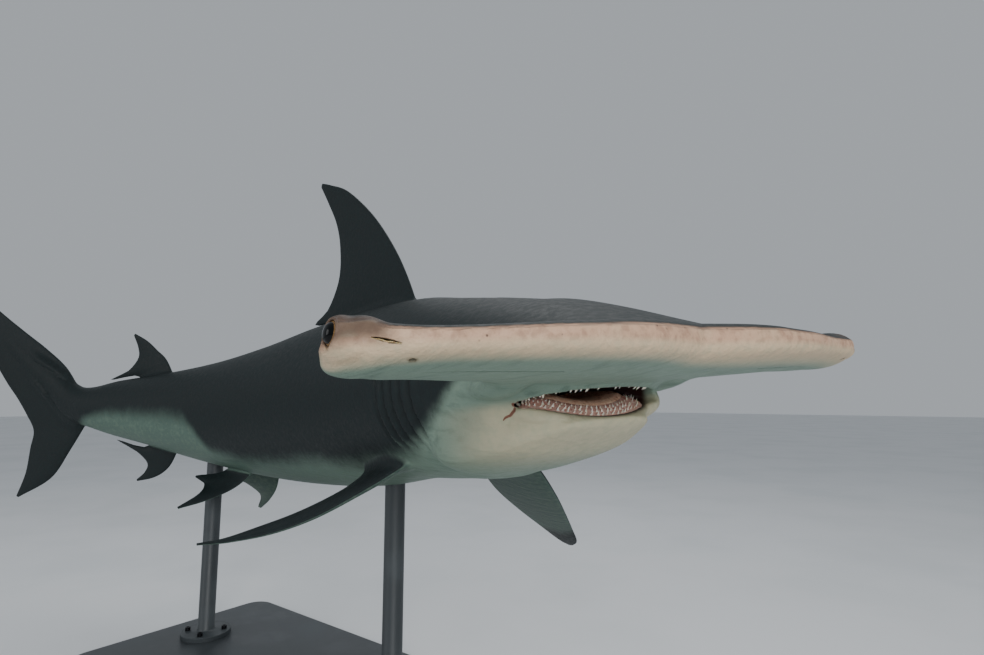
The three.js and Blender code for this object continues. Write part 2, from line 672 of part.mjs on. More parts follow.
// Paired fins are written for the left side
const PECTORALS = {
  left: {
    lead: [
      [0.186, 0.03, -0.035], [0.2005, 0.0606, -0.0579], [0.2165, 0.0865, -0.0785], [0.233, 0.1095, -0.096],
      [0.2475, 0.13, -0.111], [0.2605, 0.1495, -0.1258], [0.2695, 0.1562, -0.1312],
    ],
    trail: [
      [0.25, 0.026, -0.037], [0.264, 0.0565, -0.0565], [0.2755, 0.0825, -0.0765], [0.279, 0.107, -0.0948],
      [0.2785, 0.13, -0.112], [0.276, 0.1478, -0.1262], [0.2735, 0.155, -0.1312],
    ],
    thick: [[0, 42], [0.5, 26], [1, 6]],
  },
  right: {
    lead: [
      [0.187, 0.029, -0.036], [0.2035, 0.0433, -0.0475], [0.217, 0.0555, -0.0562], [0.243, 0.0772, -0.0707],
      [0.268, 0.0965, -0.0795], [0.2935, 0.1155, -0.0836], [0.3115, 0.1305, -0.0844],
    ],
    trail: [
      [0.25, 0.022, -0.036], [0.2655, 0.0405, -0.053], [0.2745, 0.0545, -0.0628], [0.2865, 0.0765, -0.0722],
      [0.299, 0.0975, -0.0788], [0.3095, 0.1168, -0.0838], [0.3145, 0.1303, -0.0847],
    ],
    thick: [[0, 42], [0.5, 26], [1, 6]],
  },
};
const PELVICS = {
  left: {
    lead: [
      [0.461, 0.008, -0.045], [0.481, 0.0225, -0.0735], [0.505, 0.037, -0.09], [0.5275, 0.0492, -0.1015],
    ],
    trail: [
      [0, 0.49, 0.006, -0.038], [0.22, 0.515, 0.0125, -0.058], [0.4, 0.546, 0.0168, -0.063],
      [0.55, 0.528, 0.0225, -0.0705], [0.75, 0.517, 0.0355, -0.0845], [1, 0.5305, 0.048, -0.1005],
    ],
    thick: [[0, 20], [0.5, 13], [1, 5]],
  },
  right: {
    lead: [
      [0.461, 0.008, -0.045], [0.481, 0.0225, -0.0685], [0.503, 0.0375, -0.0805], [0.5235, 0.0505, -0.087],
    ],
    trail: [
      [0, 0.49, 0.006, -0.038], [0.22, 0.514, 0.0125, -0.058], [0.4, 0.546, 0.0168, -0.063],
      [0.55, 0.527, 0.0225, -0.0675], [0.75, 0.515, 0.036, -0.075], [1, 0.5265, 0.049, -0.0862],
    ],
    thick: [[0, 20], [0.5, 13], [1, 5]],
  },
};

function onSide({ lead, trail, thick }, side) {
  const flip = (points) => points.map((point) => point.with(-2, side * point.at(-2)));
  return { lead: flip(lead), trail: flip(trail), thick };
}

function rooted(spec) {
  return largest(fin(spec).subtract(clearOfBody));
}

// Tail fin: its edges run from the lower tip, 0, through the end of the body to the upper tip, 1
const TAIL_START = 0.7245;
const TAIL_TIMES = 26;
const TAIL_COLUMNS = 8;
const CAUDAL = {
  lead: [
    [0, 0.0785, 0, -0.1045], [0.1, 0.0375, 0, -0.0805], [0.2, 0.0165, 0, -0.049], [0.3, -0.004, 0, -0.012],
    [0.38, -0.006, 0, 0.002], [0.46, 0.0105, 0, 0.0135], [0.55, 0.038, 0, 0.0415], [0.64, 0.0725, 0, 0.0625],
    [0.73, 0.108, 0, 0.0805], [0.81, 0.1465, 0, 0.1005], [0.88, 0.185, 0, 0.1222], [0.94, 0.222, 0, 0.1457],
    [0.985, 0.25, 0, 0.166], [1, 0.2575, 0, 0.1718],
  ],
  trail: [
    [0, 0.0815, 0, -0.1035], [0.1, 0.0738, 0, -0.078], [0.2, 0.0728, 0, -0.05], [0.29, 0.0722, 0, -0.0305],
    [0.38, 0.0865, 0, -0.0132], [0.46, 0.104, 0, 0.0041], [0.55, 0.1215, 0, 0.019], [0.64, 0.1395, 0, 0.036],
    [0.73, 0.164, 0, 0.0595], [0.81, 0.1925, 0, 0.0885], [0.865, 0.213, 0, 0.111], [0.885, 0.2185, 0, 0.1195],
    [0.9, 0.2275, 0, 0.1215], [0.94, 0.2415, 0, 0.1405], [0.985, 0.256, 0, 0.159], [1, 0.2605, 0, 0.1695],
  ],
  thick: [[0, 6], [0.2, 24], [0.4, 32], [0.6, 26], [0.85, 12], [1, 6]],
};

// The body's own end, which runs up into the upper lobe: s past the start, middle, top, bottom, half width
const TAIL_CORE = [
  [0.012, 0.002, 0.0195, 0.0205, 0.0135],
  [0.028, 0.0075, 0.0205, 0.0195, 0.0108],
  [0.05, 0.0215, 0.0185, 0.0168, 0.0082],
  [0.078, 0.0375, 0.015, 0.0142, 0.006],
  [0.11, 0.0555, 0.0115, 0.0105, 0.0042],
];

function tail() {
  const behind = (points) => points.map(([time, back, l, u]) => [time, TAIL_START + back, l, u]);
  const spec = { lead: behind(CAUDAL.lead), trail: behind(CAUDAL.trail), thick: CAUDAL.thick };
  const times = Array.from({ length: TAIL_TIMES + 1 }, (_, i) => i / TAIL_TIMES);
  const core = TAIL_CORE.map(([back, middle, top, bottom, half]) => (
    section(TAIL_START + back, middle, top, bottom, half, RING_SIDES, BACK_FULLNESS, BELLY_FULLNESS)));
  const clearOfStalk = bodyLength(CUTS.tail - 0.05, CUTS.tail + halfGap, 0.01, 60);
  const whole = loft([bodyRing(CUTS.tail + halfGap, 0), ...core]).add(fin(spec, TAIL_COLUMNS, times));
  return largest(whole.subtract(clearOfStalk));
}

// Stand
function standRod(s) {
  const top = place(s, 0, 0);
  const low = BASE.thick + GAP;
  const high = low + ROD.footThick;
  const profile = [
    [0, low], [ROD.foot, low], [ROD.foot, high - ROD.chamfer], [ROD.foot - ROD.chamfer, high],
    [ROD.radius + 8, high], [ROD.radius + 2, high + 3], [ROD.radius, high + 12],
    [ROD.radius, top.z], [0, top.z],
  ].map(([radius, height]) => new THREE.Vector2(radius, height));
  const lathe = new THREE.LatheGeometry(profile, ROD.sides);
  lathe.rotateX(Math.PI / 2);
  lathe.translate(top.x, top.y, 0);
  return largest(solidOfGeometry(lathe).subtract(clearOfBody));
}

function standBase() {
  const { length, width, corner, thick, edge } = BASE;
  const [x, y] = [length / 2 - edge, width / 2 - edge];
  const r = corner - edge;
  const outline = new THREE.Shape();
  outline.moveTo(-x + r, -y);
  outline.lineTo(x - r, -y);
  outline.absarc(x - r, -y + r, r, -Math.PI / 2, 0);
  outline.lineTo(x, y - r);
  outline.absarc(x - r, y - r, r, 0, Math.PI / 2);
  outline.lineTo(-x + r, y);
  outline.absarc(-x + r, y - r, r, Math.PI / 2, Math.PI);
  outline.lineTo(-x, -y + r);
  outline.absarc(-x + r, -y + r, r, Math.PI, 1.5 * Math.PI);
  const slab = new THREE.ExtrudeGeometry(outline, {
    depth: thick - edge,
    bevelEnabled: true,
    bevelSize: edge,
    bevelThickness: edge,
    bevelSegments: 2,
    curveSegments: 8,
  });
  const solid = solidOfGeometry(slab);
  const under = new THREE.BoxGeometry(length * 2, width * 2, thick);
  under.translate(0, 0, -thick / 2);
  return solid.subtract(solidOfGeometry(under));
}

// Colours
function finish(color, roughness, metalness = 0) {
  return new THREE.MeshStandardMaterial({ color, roughness, metalness });
}

const SKIN = finish('#58635c', 0.55);
const FIN_SKIN = finish('#4c5650', 0.55);
const EYE = finish('#1c1a12', 0.12);
const STEEL = finish('#3b3e41', 0.45, 0.6);

const shark = new THREE.Group();

function addNode(name, solid, material) {
  const mesh = solid.getMesh();
  const geometry = new THREE.BufferGeometry();
  const stride = mesh.numProp;
  const flat = new Float32Array((mesh.vertProperties.length / stride) * 3);
  for (let i = 0; i < flat.length / 3; i += 1) {
    for (let k = 0; k < 3; k += 1) flat[3 * i + k] = mesh.vertProperties[stride * i + k];
  }
  geometry.setAttribute('position', new THREE.BufferAttribute(flat, 3));
  geometry.setIndex(new THREE.BufferAttribute(new Uint32Array(mesh.triVerts), 1));
  geometry.computeVertexNormals();
  const node = new THREE.Mesh(geometry, material);
  node.name = name;
  shark.add(node);
}

const [headSolid, jawSolid] = headAndJaw();
addNode('head', headSolid, SKIN);
addNode('lower_jaw', jawSolid, SKIN);
addNode('neck', largest(neck()), SKIN);
addNode('torso', bodyLength(CUTS.torso + halfGap, CUTS.hind - halfGap), SKIN);
addNode('hind_body', bodyLength(CUTS.hind + halfGap, CUTS.stalk - halfGap), SKIN);
addNode('tail_stalk', bodyLength(CUTS.stalk + halfGap, CUTS.tail - halfGap), SKIN);
addNode('caudal_fin', tail(), FIN_SKIN);
addNode('first_dorsal_fin', rooted(FIRST_DORSAL), FIN_SKIN);
addNode('second_dorsal_fin', rooted(SECOND_DORSAL), FIN_SKIN);
addNode('anal_fin', rooted(ANAL), FIN_SKIN);
for (const [name, side] of SIDES) {
  addNode(`pectoral_fin_${name}`, rooted(onSide(PECTORALS[name], side)), FIN_SKIN);
  addNode(`pelvic_fin_${name}`, rooted(onSide(PELVICS[name], side)), FIN_SKIN);
  addNode(`eye_${name}`, sphereAt(eyeCentre(side), EYE_RADIUS, EYE_SIDES), EYE);
}
addNode('stand_base', standBase(), STEEL);
addNode('stand_rod_front', standRod(ROD_PLACES.front), STEEL);
addNode('stand_rod_rear', standRod(ROD_PLACES.rear), STEEL);

export default shark;
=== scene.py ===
# Great hammerhead shark as a life-size museum model, held in a left turn above a flat display stand.
# Metres. A place on the animal is three fractions of its length: s back from the snout along the
# spine, l out to the animal's left and u up, both square to the spine.
import math

import bmesh
import bpy
import numpy as np
from mathutils import Matrix, Vector
from mathutils.bvhtree import BVHTree


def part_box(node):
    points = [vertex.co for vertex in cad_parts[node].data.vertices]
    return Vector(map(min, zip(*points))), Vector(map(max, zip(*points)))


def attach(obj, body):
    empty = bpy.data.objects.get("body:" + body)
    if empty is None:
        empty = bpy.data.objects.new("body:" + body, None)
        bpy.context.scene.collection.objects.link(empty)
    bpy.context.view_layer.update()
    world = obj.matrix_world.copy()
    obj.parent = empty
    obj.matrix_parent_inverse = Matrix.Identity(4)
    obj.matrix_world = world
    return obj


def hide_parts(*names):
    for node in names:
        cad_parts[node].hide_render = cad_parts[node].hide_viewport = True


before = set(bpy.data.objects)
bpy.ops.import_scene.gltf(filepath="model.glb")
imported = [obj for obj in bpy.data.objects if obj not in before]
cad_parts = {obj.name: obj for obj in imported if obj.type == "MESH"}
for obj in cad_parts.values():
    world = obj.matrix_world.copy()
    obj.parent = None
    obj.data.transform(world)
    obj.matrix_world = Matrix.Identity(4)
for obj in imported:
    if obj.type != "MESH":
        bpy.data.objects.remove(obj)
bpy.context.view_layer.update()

# Driving sizes, as in the solids
LENGTH = 3.4
MM = 0.001
HAMMER_HALF = 0.128
EYE_RADIUS = 17 * MM
EYE_PLACE = (0.0335, 0.1237, 0.0026)
EYE_TURN = math.radians(8)
EYE_RISE = math.radians(9)
LID_REACH = 20.5 * MM
RIDE_HEIGHT = 0.76
RIDE_S = 0.4
BODY_OFFSET = (-0.12, 0.083)
BASE = {"corner": 0.06, "edge": 0.004}
ROD = {"radius": 0.025, "foot": 0.075, "foot_thick": 0.014}
ROD_PLACES = ("front", "rear")
SIDES = (("right", -1), ("left", 1))

# Pose: the head's attitude, then how fast the spine turns and lifts, in degrees per body length
HEAD_YAW = -22.2
HEAD_PITCH = 4.4
HEAD_ROLL = 2.1
BEND_START = 0.12
TURN = [[0.12, 0], [0.32, 127.8], [0.5, 84.2], [0.68, 31.5], [0.85, 5.7], [1, 1.1]]
LIFT = [[0.12, 0], [0.32, -8.6], [0.5, -18.9], [0.68, -13.8], [0.85, -6.3], [1, -3.4]]

# Sections of head, body and tail core: s, middle, height above it, depth below it, half width
TRUNK = [
    [0.01, 0, 0.004, 0.004, 0.03],
    [0.03, 0, 0.012, 0.0095, 0.041],
    [0.055, 0, 0.022, 0.0118, 0.0455],
    [0.08, 0, 0.0305, 0.0155, 0.0475],
    [0.1, 0, 0.035, 0.0245, 0.048],
    [0.115, 0, 0.0388, 0.0385, 0.0485],
    [0.135, 0, 0.0436, 0.0515, 0.05],
    [0.18, 0, 0.0538, 0.0548, 0.0545],
    [0.23, 0, 0.0645, 0.0566, 0.058],
    [0.3, 0, 0.0705, 0.0645, 0.06],
    [0.38, 0, 0.0695, 0.066, 0.058],
    [0.46, 0, 0.0595, 0.0615, 0.051],
    [0.54, 0, 0.0478, 0.0515, 0.041],
    [0.62, 0, 0.0375, 0.038, 0.031],
    [0.68, 0, 0.0298, 0.0288, 0.0225],
    [0.715, 0, 0.0222, 0.022, 0.018],
    [0.7365, 0.002, 0.0195, 0.0205, 0.0135],
    [0.7525, 0.0075, 0.0205, 0.0195, 0.0108],
    [0.7745, 0.0215, 0.0185, 0.0168, 0.0082],
    [0.8025, 0.0375, 0.015, 0.0142, 0.006],
    [0.8345, 0.0555, 0.0115, 0.0105, 0.0042],
    [0.87, 0.0765, 0.006, 0.0055, 0.0012],
]
BACK_FULLNESS = 1.04
BELLY_FULLNESS = 0.93
SNOUT_FULLNESS = 0.72

# Lower jaw and the horseshoe of the upper jaw, in the same columns
JAW = [
    [0.0603, -0.0262, 0.0006, 0.0006, 0.011],
    [0.0615, -0.0267, 0.0017, 0.0017, 0.0178],
    [0.0645, -0.0275, 0.003, 0.003, 0.0228],
    [0.07, -0.0282, 0.0052, 0.0052, 0.0272],
    [0.0775, -0.0289, 0.0077, 0.0077, 0.0324],
    [0.087, -0.03025, 0.01075, 0.01075, 0.037],
    [0.1, -0.0314, 0.0132, 0.0132, 0.0413],
    [0.118, -0.0332, 0.0152, 0.0152, 0.0447],
    [0.135, -0.0344, 0.0164, 0.0164, 0.0468],
    [0.15, -0.0328, 0.0152, 0.0152, 0.045],
    [0.165, -0.031, 0.013, 0.013, 0.039],
    [0.175, -0.03, 0.01, 0.01, 0.03],
]
UPPER_JAW = [
    [0.0535, -0.0071, 0.0031, 0.0031, 0.012],
    [0.0553, -0.00685, 0.00485, 0.00485, 0.021],
    [0.0585, -0.0063, 0.0063, 0.0063, 0.0285],
    [0.0645, -0.0067, 0.0067, 0.0067, 0.0352],
    [0.073, -0.00735, 0.00735, 0.00735, 0.04],
    [0.083, -0.00815, 0.00815, 0.00815, 0.0438],
    [0.096, -0.009, 0.009, 0.009, 0.0465],
]

# Hammer: front margin, hind margin and half thickness against the distance out from the middle
HAMMER_FRONT = [
    [0, 0.0102], [0.01, 0.0078], [0.03, 0.0042], [0.06, 0.0052], [0.078, 0.009], [0.09, 0.0118],
    [0.104, 0.0142], [0.112, 0.0166], [0.1185, 0.0206], [0.1242, 0.0264], [0.128, 0.034],
]
HAMMER_BACK = [
    [0, 0.085], [0.035, 0.085], [0.05, 0.081], [0.062, 0.0755], [0.075, 0.0715], [0.09, 0.0668],
    [0.104, 0.0628], [0.114, 0.0588], [0.1208, 0.054], [0.1256, 0.0475], [0.128, 0.0405],
]
HAMMER_HALF_THICK = [
    [0, 0.0088], [0.04, 0.0082], [0.07, 0.0071], [0.095, 0.0061], [0.105, 0.0063], [0.113, 0.0072],
    [0.1185, 0.0083], [0.1235, 0.008], [0.1262, 0.0064], [0.1275, 0.0042], [0.128, 0.0018],
]
# How much of that thickness the upper side keeps, so that the eye's bulb stands up from the wing
UPPER_SHARE = [[0, 1], [0.04, 0.97], [0.055, 0.87], [0.09, 0.8], [0.1145, 0.76], [0.119, 1], [0.128, 1]]
BULB_START = 0.104
TIP_LIFT = 0.0014
TIP_LEAN = 0.25
TRAILING_DROOP = 0.0055

# Mouth: lips run round it as a horseshoe, 0 at the animal's right corner and 1 at its left one
LIP_CORNER = 0.0885
UPPER_LIP = {"front": 0.0566, "half": 0.0375, "front_up": -0.0112, "corner_up": -0.0175, "gape": 0.6}
LOWER_LIP = {"front": 0.0635, "half": 0.0355, "front_up": -0.0266, "corner_up": -0.0196, "gape": 2}
LIP_ROUNDING = 0.68
LIP_ROOT = 1.6
THROAT = (0.106, 0)

# Gill slits: places along the spine, ends of each and how near the middle none reaches, then how far its
# flap stands proud and how deep the skin drops behind it, in millimetres
GILL_PLACES = [0.1535, 0.164, 0.1745, 0.1845, 0.194]
GILL_TOP = 0.019
GILL_BOTTOM = -0.034
GILL_INNER = 0.02
GILL_FLAP = 3.2
GILL_DEPTH = 8.5


def smoothstep(low, high, x):
    t = np.clip((np.asarray(x, dtype=float) - low) / (high - low), 0, 1)
    return t * t * (3 - 2 * t)


def lerp(a, b, t):
    return a + (b - a) * t


def smooth(knots, x, column=1):
    """One column of a table at x, eased through its rows."""
    table = np.asarray(knots, dtype=float)
    at = table[:, 0]
    value = table[:, column]
    last = len(at) - 1
    where = np.clip(np.asarray(x, dtype=float), at[0], at[last])
    before = np.maximum(np.arange(last + 1) - 1, 0)
    after = np.minimum(np.arange(last + 1) + 1, last)
    slope = (value[after] - value[before]) / (at[after] - at[before])
    i = np.clip(np.searchsorted(at, where, side="right") - 1, 0, last - 1)
    step = at[i + 1] - at[i]
    t = (where - at[i]) / step
    t2 = t * t
    t3 = t2 * t
    return (value[i] * (2 * t3 - 3 * t2 + 1) + slope[i] * step * (t3 - 2 * t2 + t)
            + value[i + 1] * (3 * t2 - 2 * t3) + slope[i + 1] * step * (t3 - t2))


# Spine
SPINE_STEPS = 440
SPINE_STEP = 1.1 / SPINE_STEPS


def walk_spine():
    """Places and directions along the spine, from the snout to past the tail."""
    at = np.zeros(3)
    turn = 0.0
    lift = 0.0
    table = []
    for i in range(SPINE_STEPS + 1):
        table.append([*at, turn, lift])
        middle = (i + 0.5) * SPINE_STEP
        turning = np.interp(middle, *zip(*TURN)) * SPINE_STEP if middle > BEND_START else 0.0
        lifting = np.interp(middle, *zip(*LIFT)) * SPINE_STEP if middle > BEND_START else 0.0
        yaw = math.radians(turn + turning / 2)
        pitch = math.radians(lift + lifting / 2)
        level = math.cos(pitch)
        heading = np.array([math.cos(yaw) * level, math.sin(yaw) * level, math.sin(pitch)])
        at = at - heading * SPINE_STEP
        turn += turning
        lift += lifting
    return np.array(table)


SPINE = walk_spine()
HEAD_ATTITUDE = np.array(
    Matrix.Rotation(math.radians(HEAD_YAW), 3, "Z")
    @ Matrix.Rotation(math.radians(-HEAD_PITCH), 3, "Y")
    @ Matrix.Rotation(math.radians(HEAD_ROLL), 3, "X"))


def body_point(s, l, u):
    """A place on the animal before it is moved over the stand: its spine starts at the origin."""
    row = np.clip(np.asarray(s, dtype=float) / SPINE_STEP, 0, SPINE_STEPS - 1)
    i = np.floor(row).astype(int)
    t = (row - i)[..., None]
    here = SPINE[i] * (1 - t) + SPINE[i + 1] * t
    turn = np.radians(here[..., 3])
    lift = np.radians(here[..., 4])
    offset = np.stack([
        -u * np.sin(lift) * np.cos(turn) - l * np.sin(turn),
        -u * np.sin(lift) * np.sin(turn) + l * np.cos(turn),
        u * np.cos(lift),
    ], axis=-1)
    return (here[..., :3] + offset) @ HEAD_ATTITUDE.T * LENGTH


SHIFT = np.array([*BODY_OFFSET, RIDE_HEIGHT]) - body_point(RIDE_S, 0, 0)


def place(s, l, u):
    """Where a place on the animal lies in the frame."""
    s, l, u = np.broadcast_arrays(*(np.asarray(value, dtype=float) for value in (s, l, u)))
    return body_point(s, l, u) + SHIFT


def straight(places):
    """The same places on an animal laid out straight, snout to +X, in metres."""
    return np.asarray(places, dtype=float) * np.array([-LENGTH, LENGTH, LENGTH])


def places_of(points):
    """The places on the animal of points on the straight one."""
    return points / np.array([-LENGTH, LENGTH, LENGTH])


# Meshes
def new_object(name, points, faces):
    mesh = bpy.data.meshes.new(name)
    mesh.from_pydata(np.asarray(points).tolist(), [], [list(face) for face in faces])
    obj = bpy.data.objects.new(name, mesh)
    bpy.context.scene.collection.objects.link(obj)
    return obj


def face_outwards(obj):
    work = bmesh.new()
    work.from_mesh(obj.data)
    bmesh.ops.recalc_face_normals(work, faces=work.faces)
    work.to_mesh(obj.data)
    work.free()
    return obj


def grid_faces(rows, columns, first=0, closed=False):
    """Quads of a grid of points, closed across its columns where it is a tube."""
    reach = columns if closed else columns - 1
    r, k = np.meshgrid(np.arange(rows - 1), np.arange(reach), indexing="ij")
    a = first + r * columns + k
    b = first + r * columns + (k + 1) % columns
    return np.stack([a, b, b + columns, a + columns], axis=-1).reshape(-1, 4).tolist()


def closed_tube(name, rings):
    """A closed form from rings of points in a row, with a fan over each end."""
    rings = np.asarray(rings)
    count, sides = rings.shape[:2]
    points = np.concatenate([rings.reshape(-1, 3), [rings[0].mean(axis=0), rings[-1].mean(axis=0)]])
    faces = grid_faces(count, sides, closed=True)
    for hub, start in ((count * sides, 0), (count * sides + 1, (count - 1) * sides)):
        faces += [[hub, start + k, start + (k + 1) % sides] for k in range(sides)]
    return face_outwards(new_object(name, points, faces))


def closed_slab(name, top, bottom):
    """A closed form between two grids of points that match."""
    rows, columns = top.shape[:2]
    under = rows * columns
    points = np.concatenate([top.reshape(-1, 3), bottom.reshape(-1, 3)])
    faces = grid_faces(rows, columns) + grid_faces(rows, columns, first=under)
    rim = ([[0, k] for k in range(columns)] + [[r, columns - 1] for r in range(1, rows)]
           + [[rows - 1, k] for k in range(columns - 2, -1, -1)] + [[r, 0] for r in range(rows - 2, 0, -1)])
    around = [r * columns + k for r, k in rim]
    for a, b in zip(around, around[1:] + around[:1]):
        faces.append([a, b, under + b, under + a])
    return face_outwards(new_object(name, points, faces))


def settle(obj):
    """Turn an object's modifiers into plain mesh."""
    evaluated = obj.evaluated_get(bpy.context.evaluated_depsgraph_get())
    mesh = bpy.data.meshes.new_from_object(evaluated)
    obj.modifiers.clear()
    obj.data = mesh
    return obj


def combine(obj, other, operation):
    """Join or cut one closed form with another, which goes."""
    change = obj.modifiers.new("change", "BOOLEAN")
    change.operation = operation
    change.solver = "MANIFOLD"
    change.object = other
    settle(obj)
    bpy.data.objects.remove(other)
    return obj


def points_of(mesh):
    flat = np.empty(len(mesh.vertices) * 3)
    mesh.vertices.foreach_get("co", flat)
    return flat.reshape(-1, 3)


def normals_of(mesh):
    flat = np.empty(len(mesh.vertices) * 3)
    mesh.vertex_normals.foreach_get("vector", flat)
    return flat.reshape(-1, 3)


def move_points(mesh, points):
    mesh.vertices.foreach_set("co", np.asarray(points, dtype=float).ravel())
    mesh.update()


# How far a point moves towards the middle of its neighbours, and then back, which keeps the volume
PULL = 0.5
PUSH_BACK = -0.52


def relax(mesh, rounds, weight=1.0, back=PUSH_BACK):
    """Even out small ripples in rounds of a pull and a push back."""
    pairs = np.empty(len(mesh.edges) * 2, dtype=int)
    mesh.edges.foreach_get("vertices", pairs)
    a, b = pairs.reshape(-1, 2).T
    count = len(mesh.vertices)
    degree = np.maximum(np.bincount(a, minlength=count) + np.bincount(b, minlength=count), 1)
    points = points_of(mesh)
    share = np.broadcast_to(np.asarray(weight, dtype=float), (count,))[:, None]
    for _ in range(rounds):
        for pull in (PULL, back):
            total = np.stack([
                np.bincount(a, points[b, k], count) + np.bincount(b, points[a, k], count)
                for k in range(3)], axis=1)
            points = points + share * pull * (total / degree[:, None] - points)
    move_points(mesh, points)


# Forms of the head and body
TRUNK_SIDES = 144
JAW_SIDES = 96


def sections(table, stations, sides, full_top, full_bottom):
    """Rings of places round a tapering form, one at each station along the spine."""
    s = np.asarray(stations, dtype=float)[:, None]
    angle = np.linspace(0, 2 * np.pi, sides, endpoint=False)[None, :]
    across = np.cos(angle)
    up = np.sin(angle)
    middle, top, bottom, half = (smooth(table, s, column) for column in (1, 2, 3, 4))
    fullness = np.where(up > 0, full_top, full_bottom)
    height = np.where(up > 0, top, bottom) * np.sign(up) * np.abs(up) ** fullness
    width = half * np.sign(across) * np.abs(across) ** fullness
    return np.stack([s + 0 * angle, width, middle + height], axis=-1)


def trunk():
    stations = np.concatenate([np.arange(0.0165, 0.2, 0.0015), np.arange(0.2, 0.87, 0.0035)])
    settled = smoothstep(0.1, 0.13, stations)[:, None]
    under = lerp(SNOUT_FULLNESS, BELLY_FULLNESS, settled)
    return sections(TRUNK, stations, TRUNK_SIDES, BACK_FULLNESS, under)


def lower_jaw():
    stations = np.concatenate([[0.0603, 0.061, 0.062], np.arange(0.0635, 0.1765, 0.0015)])
    return sections(JAW, stations, JAW_SIDES, 0.5, 0.86)


def upper_jaw():
    return sections(UPPER_JAW, np.arange(0.0535, 0.0965, 0.0012), JAW_SIDES, 0.8, 0.5)


# Rings across the hammer, which crowd towards its tips, and points round each. A wing's section is blunt in
# front and thin behind, by two powers of the way along its chord.
HAMMER_COLUMNS = 181
HAMMER_SIDES = 88
TIP_CROWDING = 0.72
WING_HEIGHT = 1.79
WING_FRONT_POWER = 0.3
WING_REAR_POWER = 0.62


def hammer():
    sides = HAMMER_SIDES
    even = np.linspace(-1, 1, HAMMER_COLUMNS)
    out = HAMMER_HALF * lerp(even, np.sin(even * np.pi / 2), TIP_CROWDING)[:, None]
    far_out = np.abs(out)
    angle = np.linspace(0, 2 * np.pi, sides, endpoint=False)[None, :]
    chord = 0.5 - 0.5 * np.cos(angle)
    front, back, half = (smooth(table, far_out) for table in (HAMMER_FRONT, HAMMER_BACK, HAMMER_HALF_THICK))
    bulb = smoothstep(BULB_START, HAMMER_HALF, far_out)
    wing = WING_HEIGHT * chord ** WING_FRONT_POWER * (1 - chord) ** WING_REAR_POWER
    round_tip = np.sqrt(np.maximum(0, 1 - (2 * chord - 1) ** 2))
    thickness = half * lerp(wing, round_tip, bulb) * np.sign(np.sin(angle + 1e-9))
    thickness = thickness * (np.arange(sides) % (sides // 2) != 0)
    thickness = np.where(thickness > 0, thickness * smooth(UPPER_SHARE, far_out), thickness)
    droop = TIP_LIFT * bulb - TRAILING_DROOP * chord * (1 - 0.7 * bulb)
    lean = -np.sign(out) * TIP_LEAN * bulb * thickness
    return np.stack([lerp(front, back, chord), out + lean, droop + thickness], axis=-1)


POLE_GAP = 0.04


def ball(centre, semi, segments=32):
    """Rings of an ellipsoid with its poles front and back, which the end rings stop just short of."""
    turn = np.linspace(0, 2 * np.pi, segments, endpoint=False)[None, :]
    tilt = np.linspace(POLE_GAP, np.pi - POLE_GAP, segments // 2)[:, None]
    return np.stack([
        centre[0] - semi[0] * np.cos(tilt) + 0 * turn,
        centre[1] + semi[1] * np.sin(tilt) * np.cos(turn),
        centre[2] + semi[2] * np.sin(tilt) * np.sin(turn),
    ], axis=-1)


def lip_path(lip, t):
    """Places along a lip's own line."""
    forward = np.maximum(np.sin(np.pi * np.asarray(t, dtype=float)), 0)
    s = lerp(LIP_CORNER, lip["front"], forward ** LIP_ROUNDING)
    l = -lip["half"] * np.cos(np.pi * np.asarray(t, dtype=float))
    u = lerp(lip["corner_up"], lip["front_up"], forward ** lip["gape"])
    return np.stack([s, l, u], axis=-1)


def tube_along(path, radius, sides=16):
    """Rings round a path of places, square to it."""
    ahead = np.gradient(path, axis=0)
    ahead /= np.linalg.norm(ahead, axis=1)[:, None]
    side = np.cross(ahead, [0, 0, 1])
    side /= np.linalg.norm(side, axis=1)[:, None]
    lift = np.cross(side, ahead)
    angle = np.linspace(0, 2 * np.pi, sides, endpoint=False)
    spoke = side[:, None, :] * np.cos(angle)[None, :, None] + lift[:, None, :] * np.sin(angle)[None, :, None]
    return path[:, None, :] + spoke * np.asarray(radius)[:, None, None] / LENGTH


def lip(spec, radius, root):
    """A rounded lip, drawn out on one side, up or down, into the jaw that carries it."""
    t = np.linspace(0, 1, 80)
    path = lip_path(spec, t)
    rings = tube_along(path, radius * lerp(0.62, 1, np.sin(np.pi * t)))
    away = rings[..., 2] - path[:, None, 2]
    corner = smoothstep(0.3, 0.12, np.minimum(t, 1 - t))[:, None]
    rings[..., 2] += np.where(away * root > 0, LIP_ROOT * away * corner, 0)
    return rings


# How the floor of the mouth rises from the lower lip inwards, and its roof from the upper one
FLOOR_RISE = [[0, 0.0095], [0.6, 0.0088], [0.76, 0.0078], [0.86, 0.005], [0.94, 0.0022], [1, 0.0014],
              [1.3, 0.0048]]
ROOF_RISE = [[0, 0.014], [0.5, 0.0125], [0.8, 0.0072], [0.94, 0.0018], [1, -0.0008], [1.3, -0.005]]


def opened(t):
    """How far the mouth is open along the lips: shut in each corner, and sooner on the left, where the jaw
    is drawn up."""
    return smoothstep(0.01, 0.09, t) * smoothstep(0.9, 0.74, t)


def mouth_surface(spec, rise, reach, t):
    """Places of the mouth's floor or roof: reach is 0 at the throat and 1 at the lip."""
    edge = lip_path(spec, t)
    shut = lip_meeting(t)[..., 2]
    s = lerp(THROAT[0], edge[..., 0], reach)
    l = lerp(THROAT[1], edge[..., 1], reach)
    height = edge[..., 2] + smooth(rise, reach)
    return np.stack([s, l, lerp(shut, height, opened(t))], axis=-1)


def lip_meeting(t):
    """The line midway between the lips, where they meet in the corners."""
    return (lip_path(UPPER_LIP, t) + lip_path(LOWER_LIP, t)) / 2


CAVITY_REACHES = (0.02, 1.3)
CAVITY_ENDS = (0.012, 0.988)


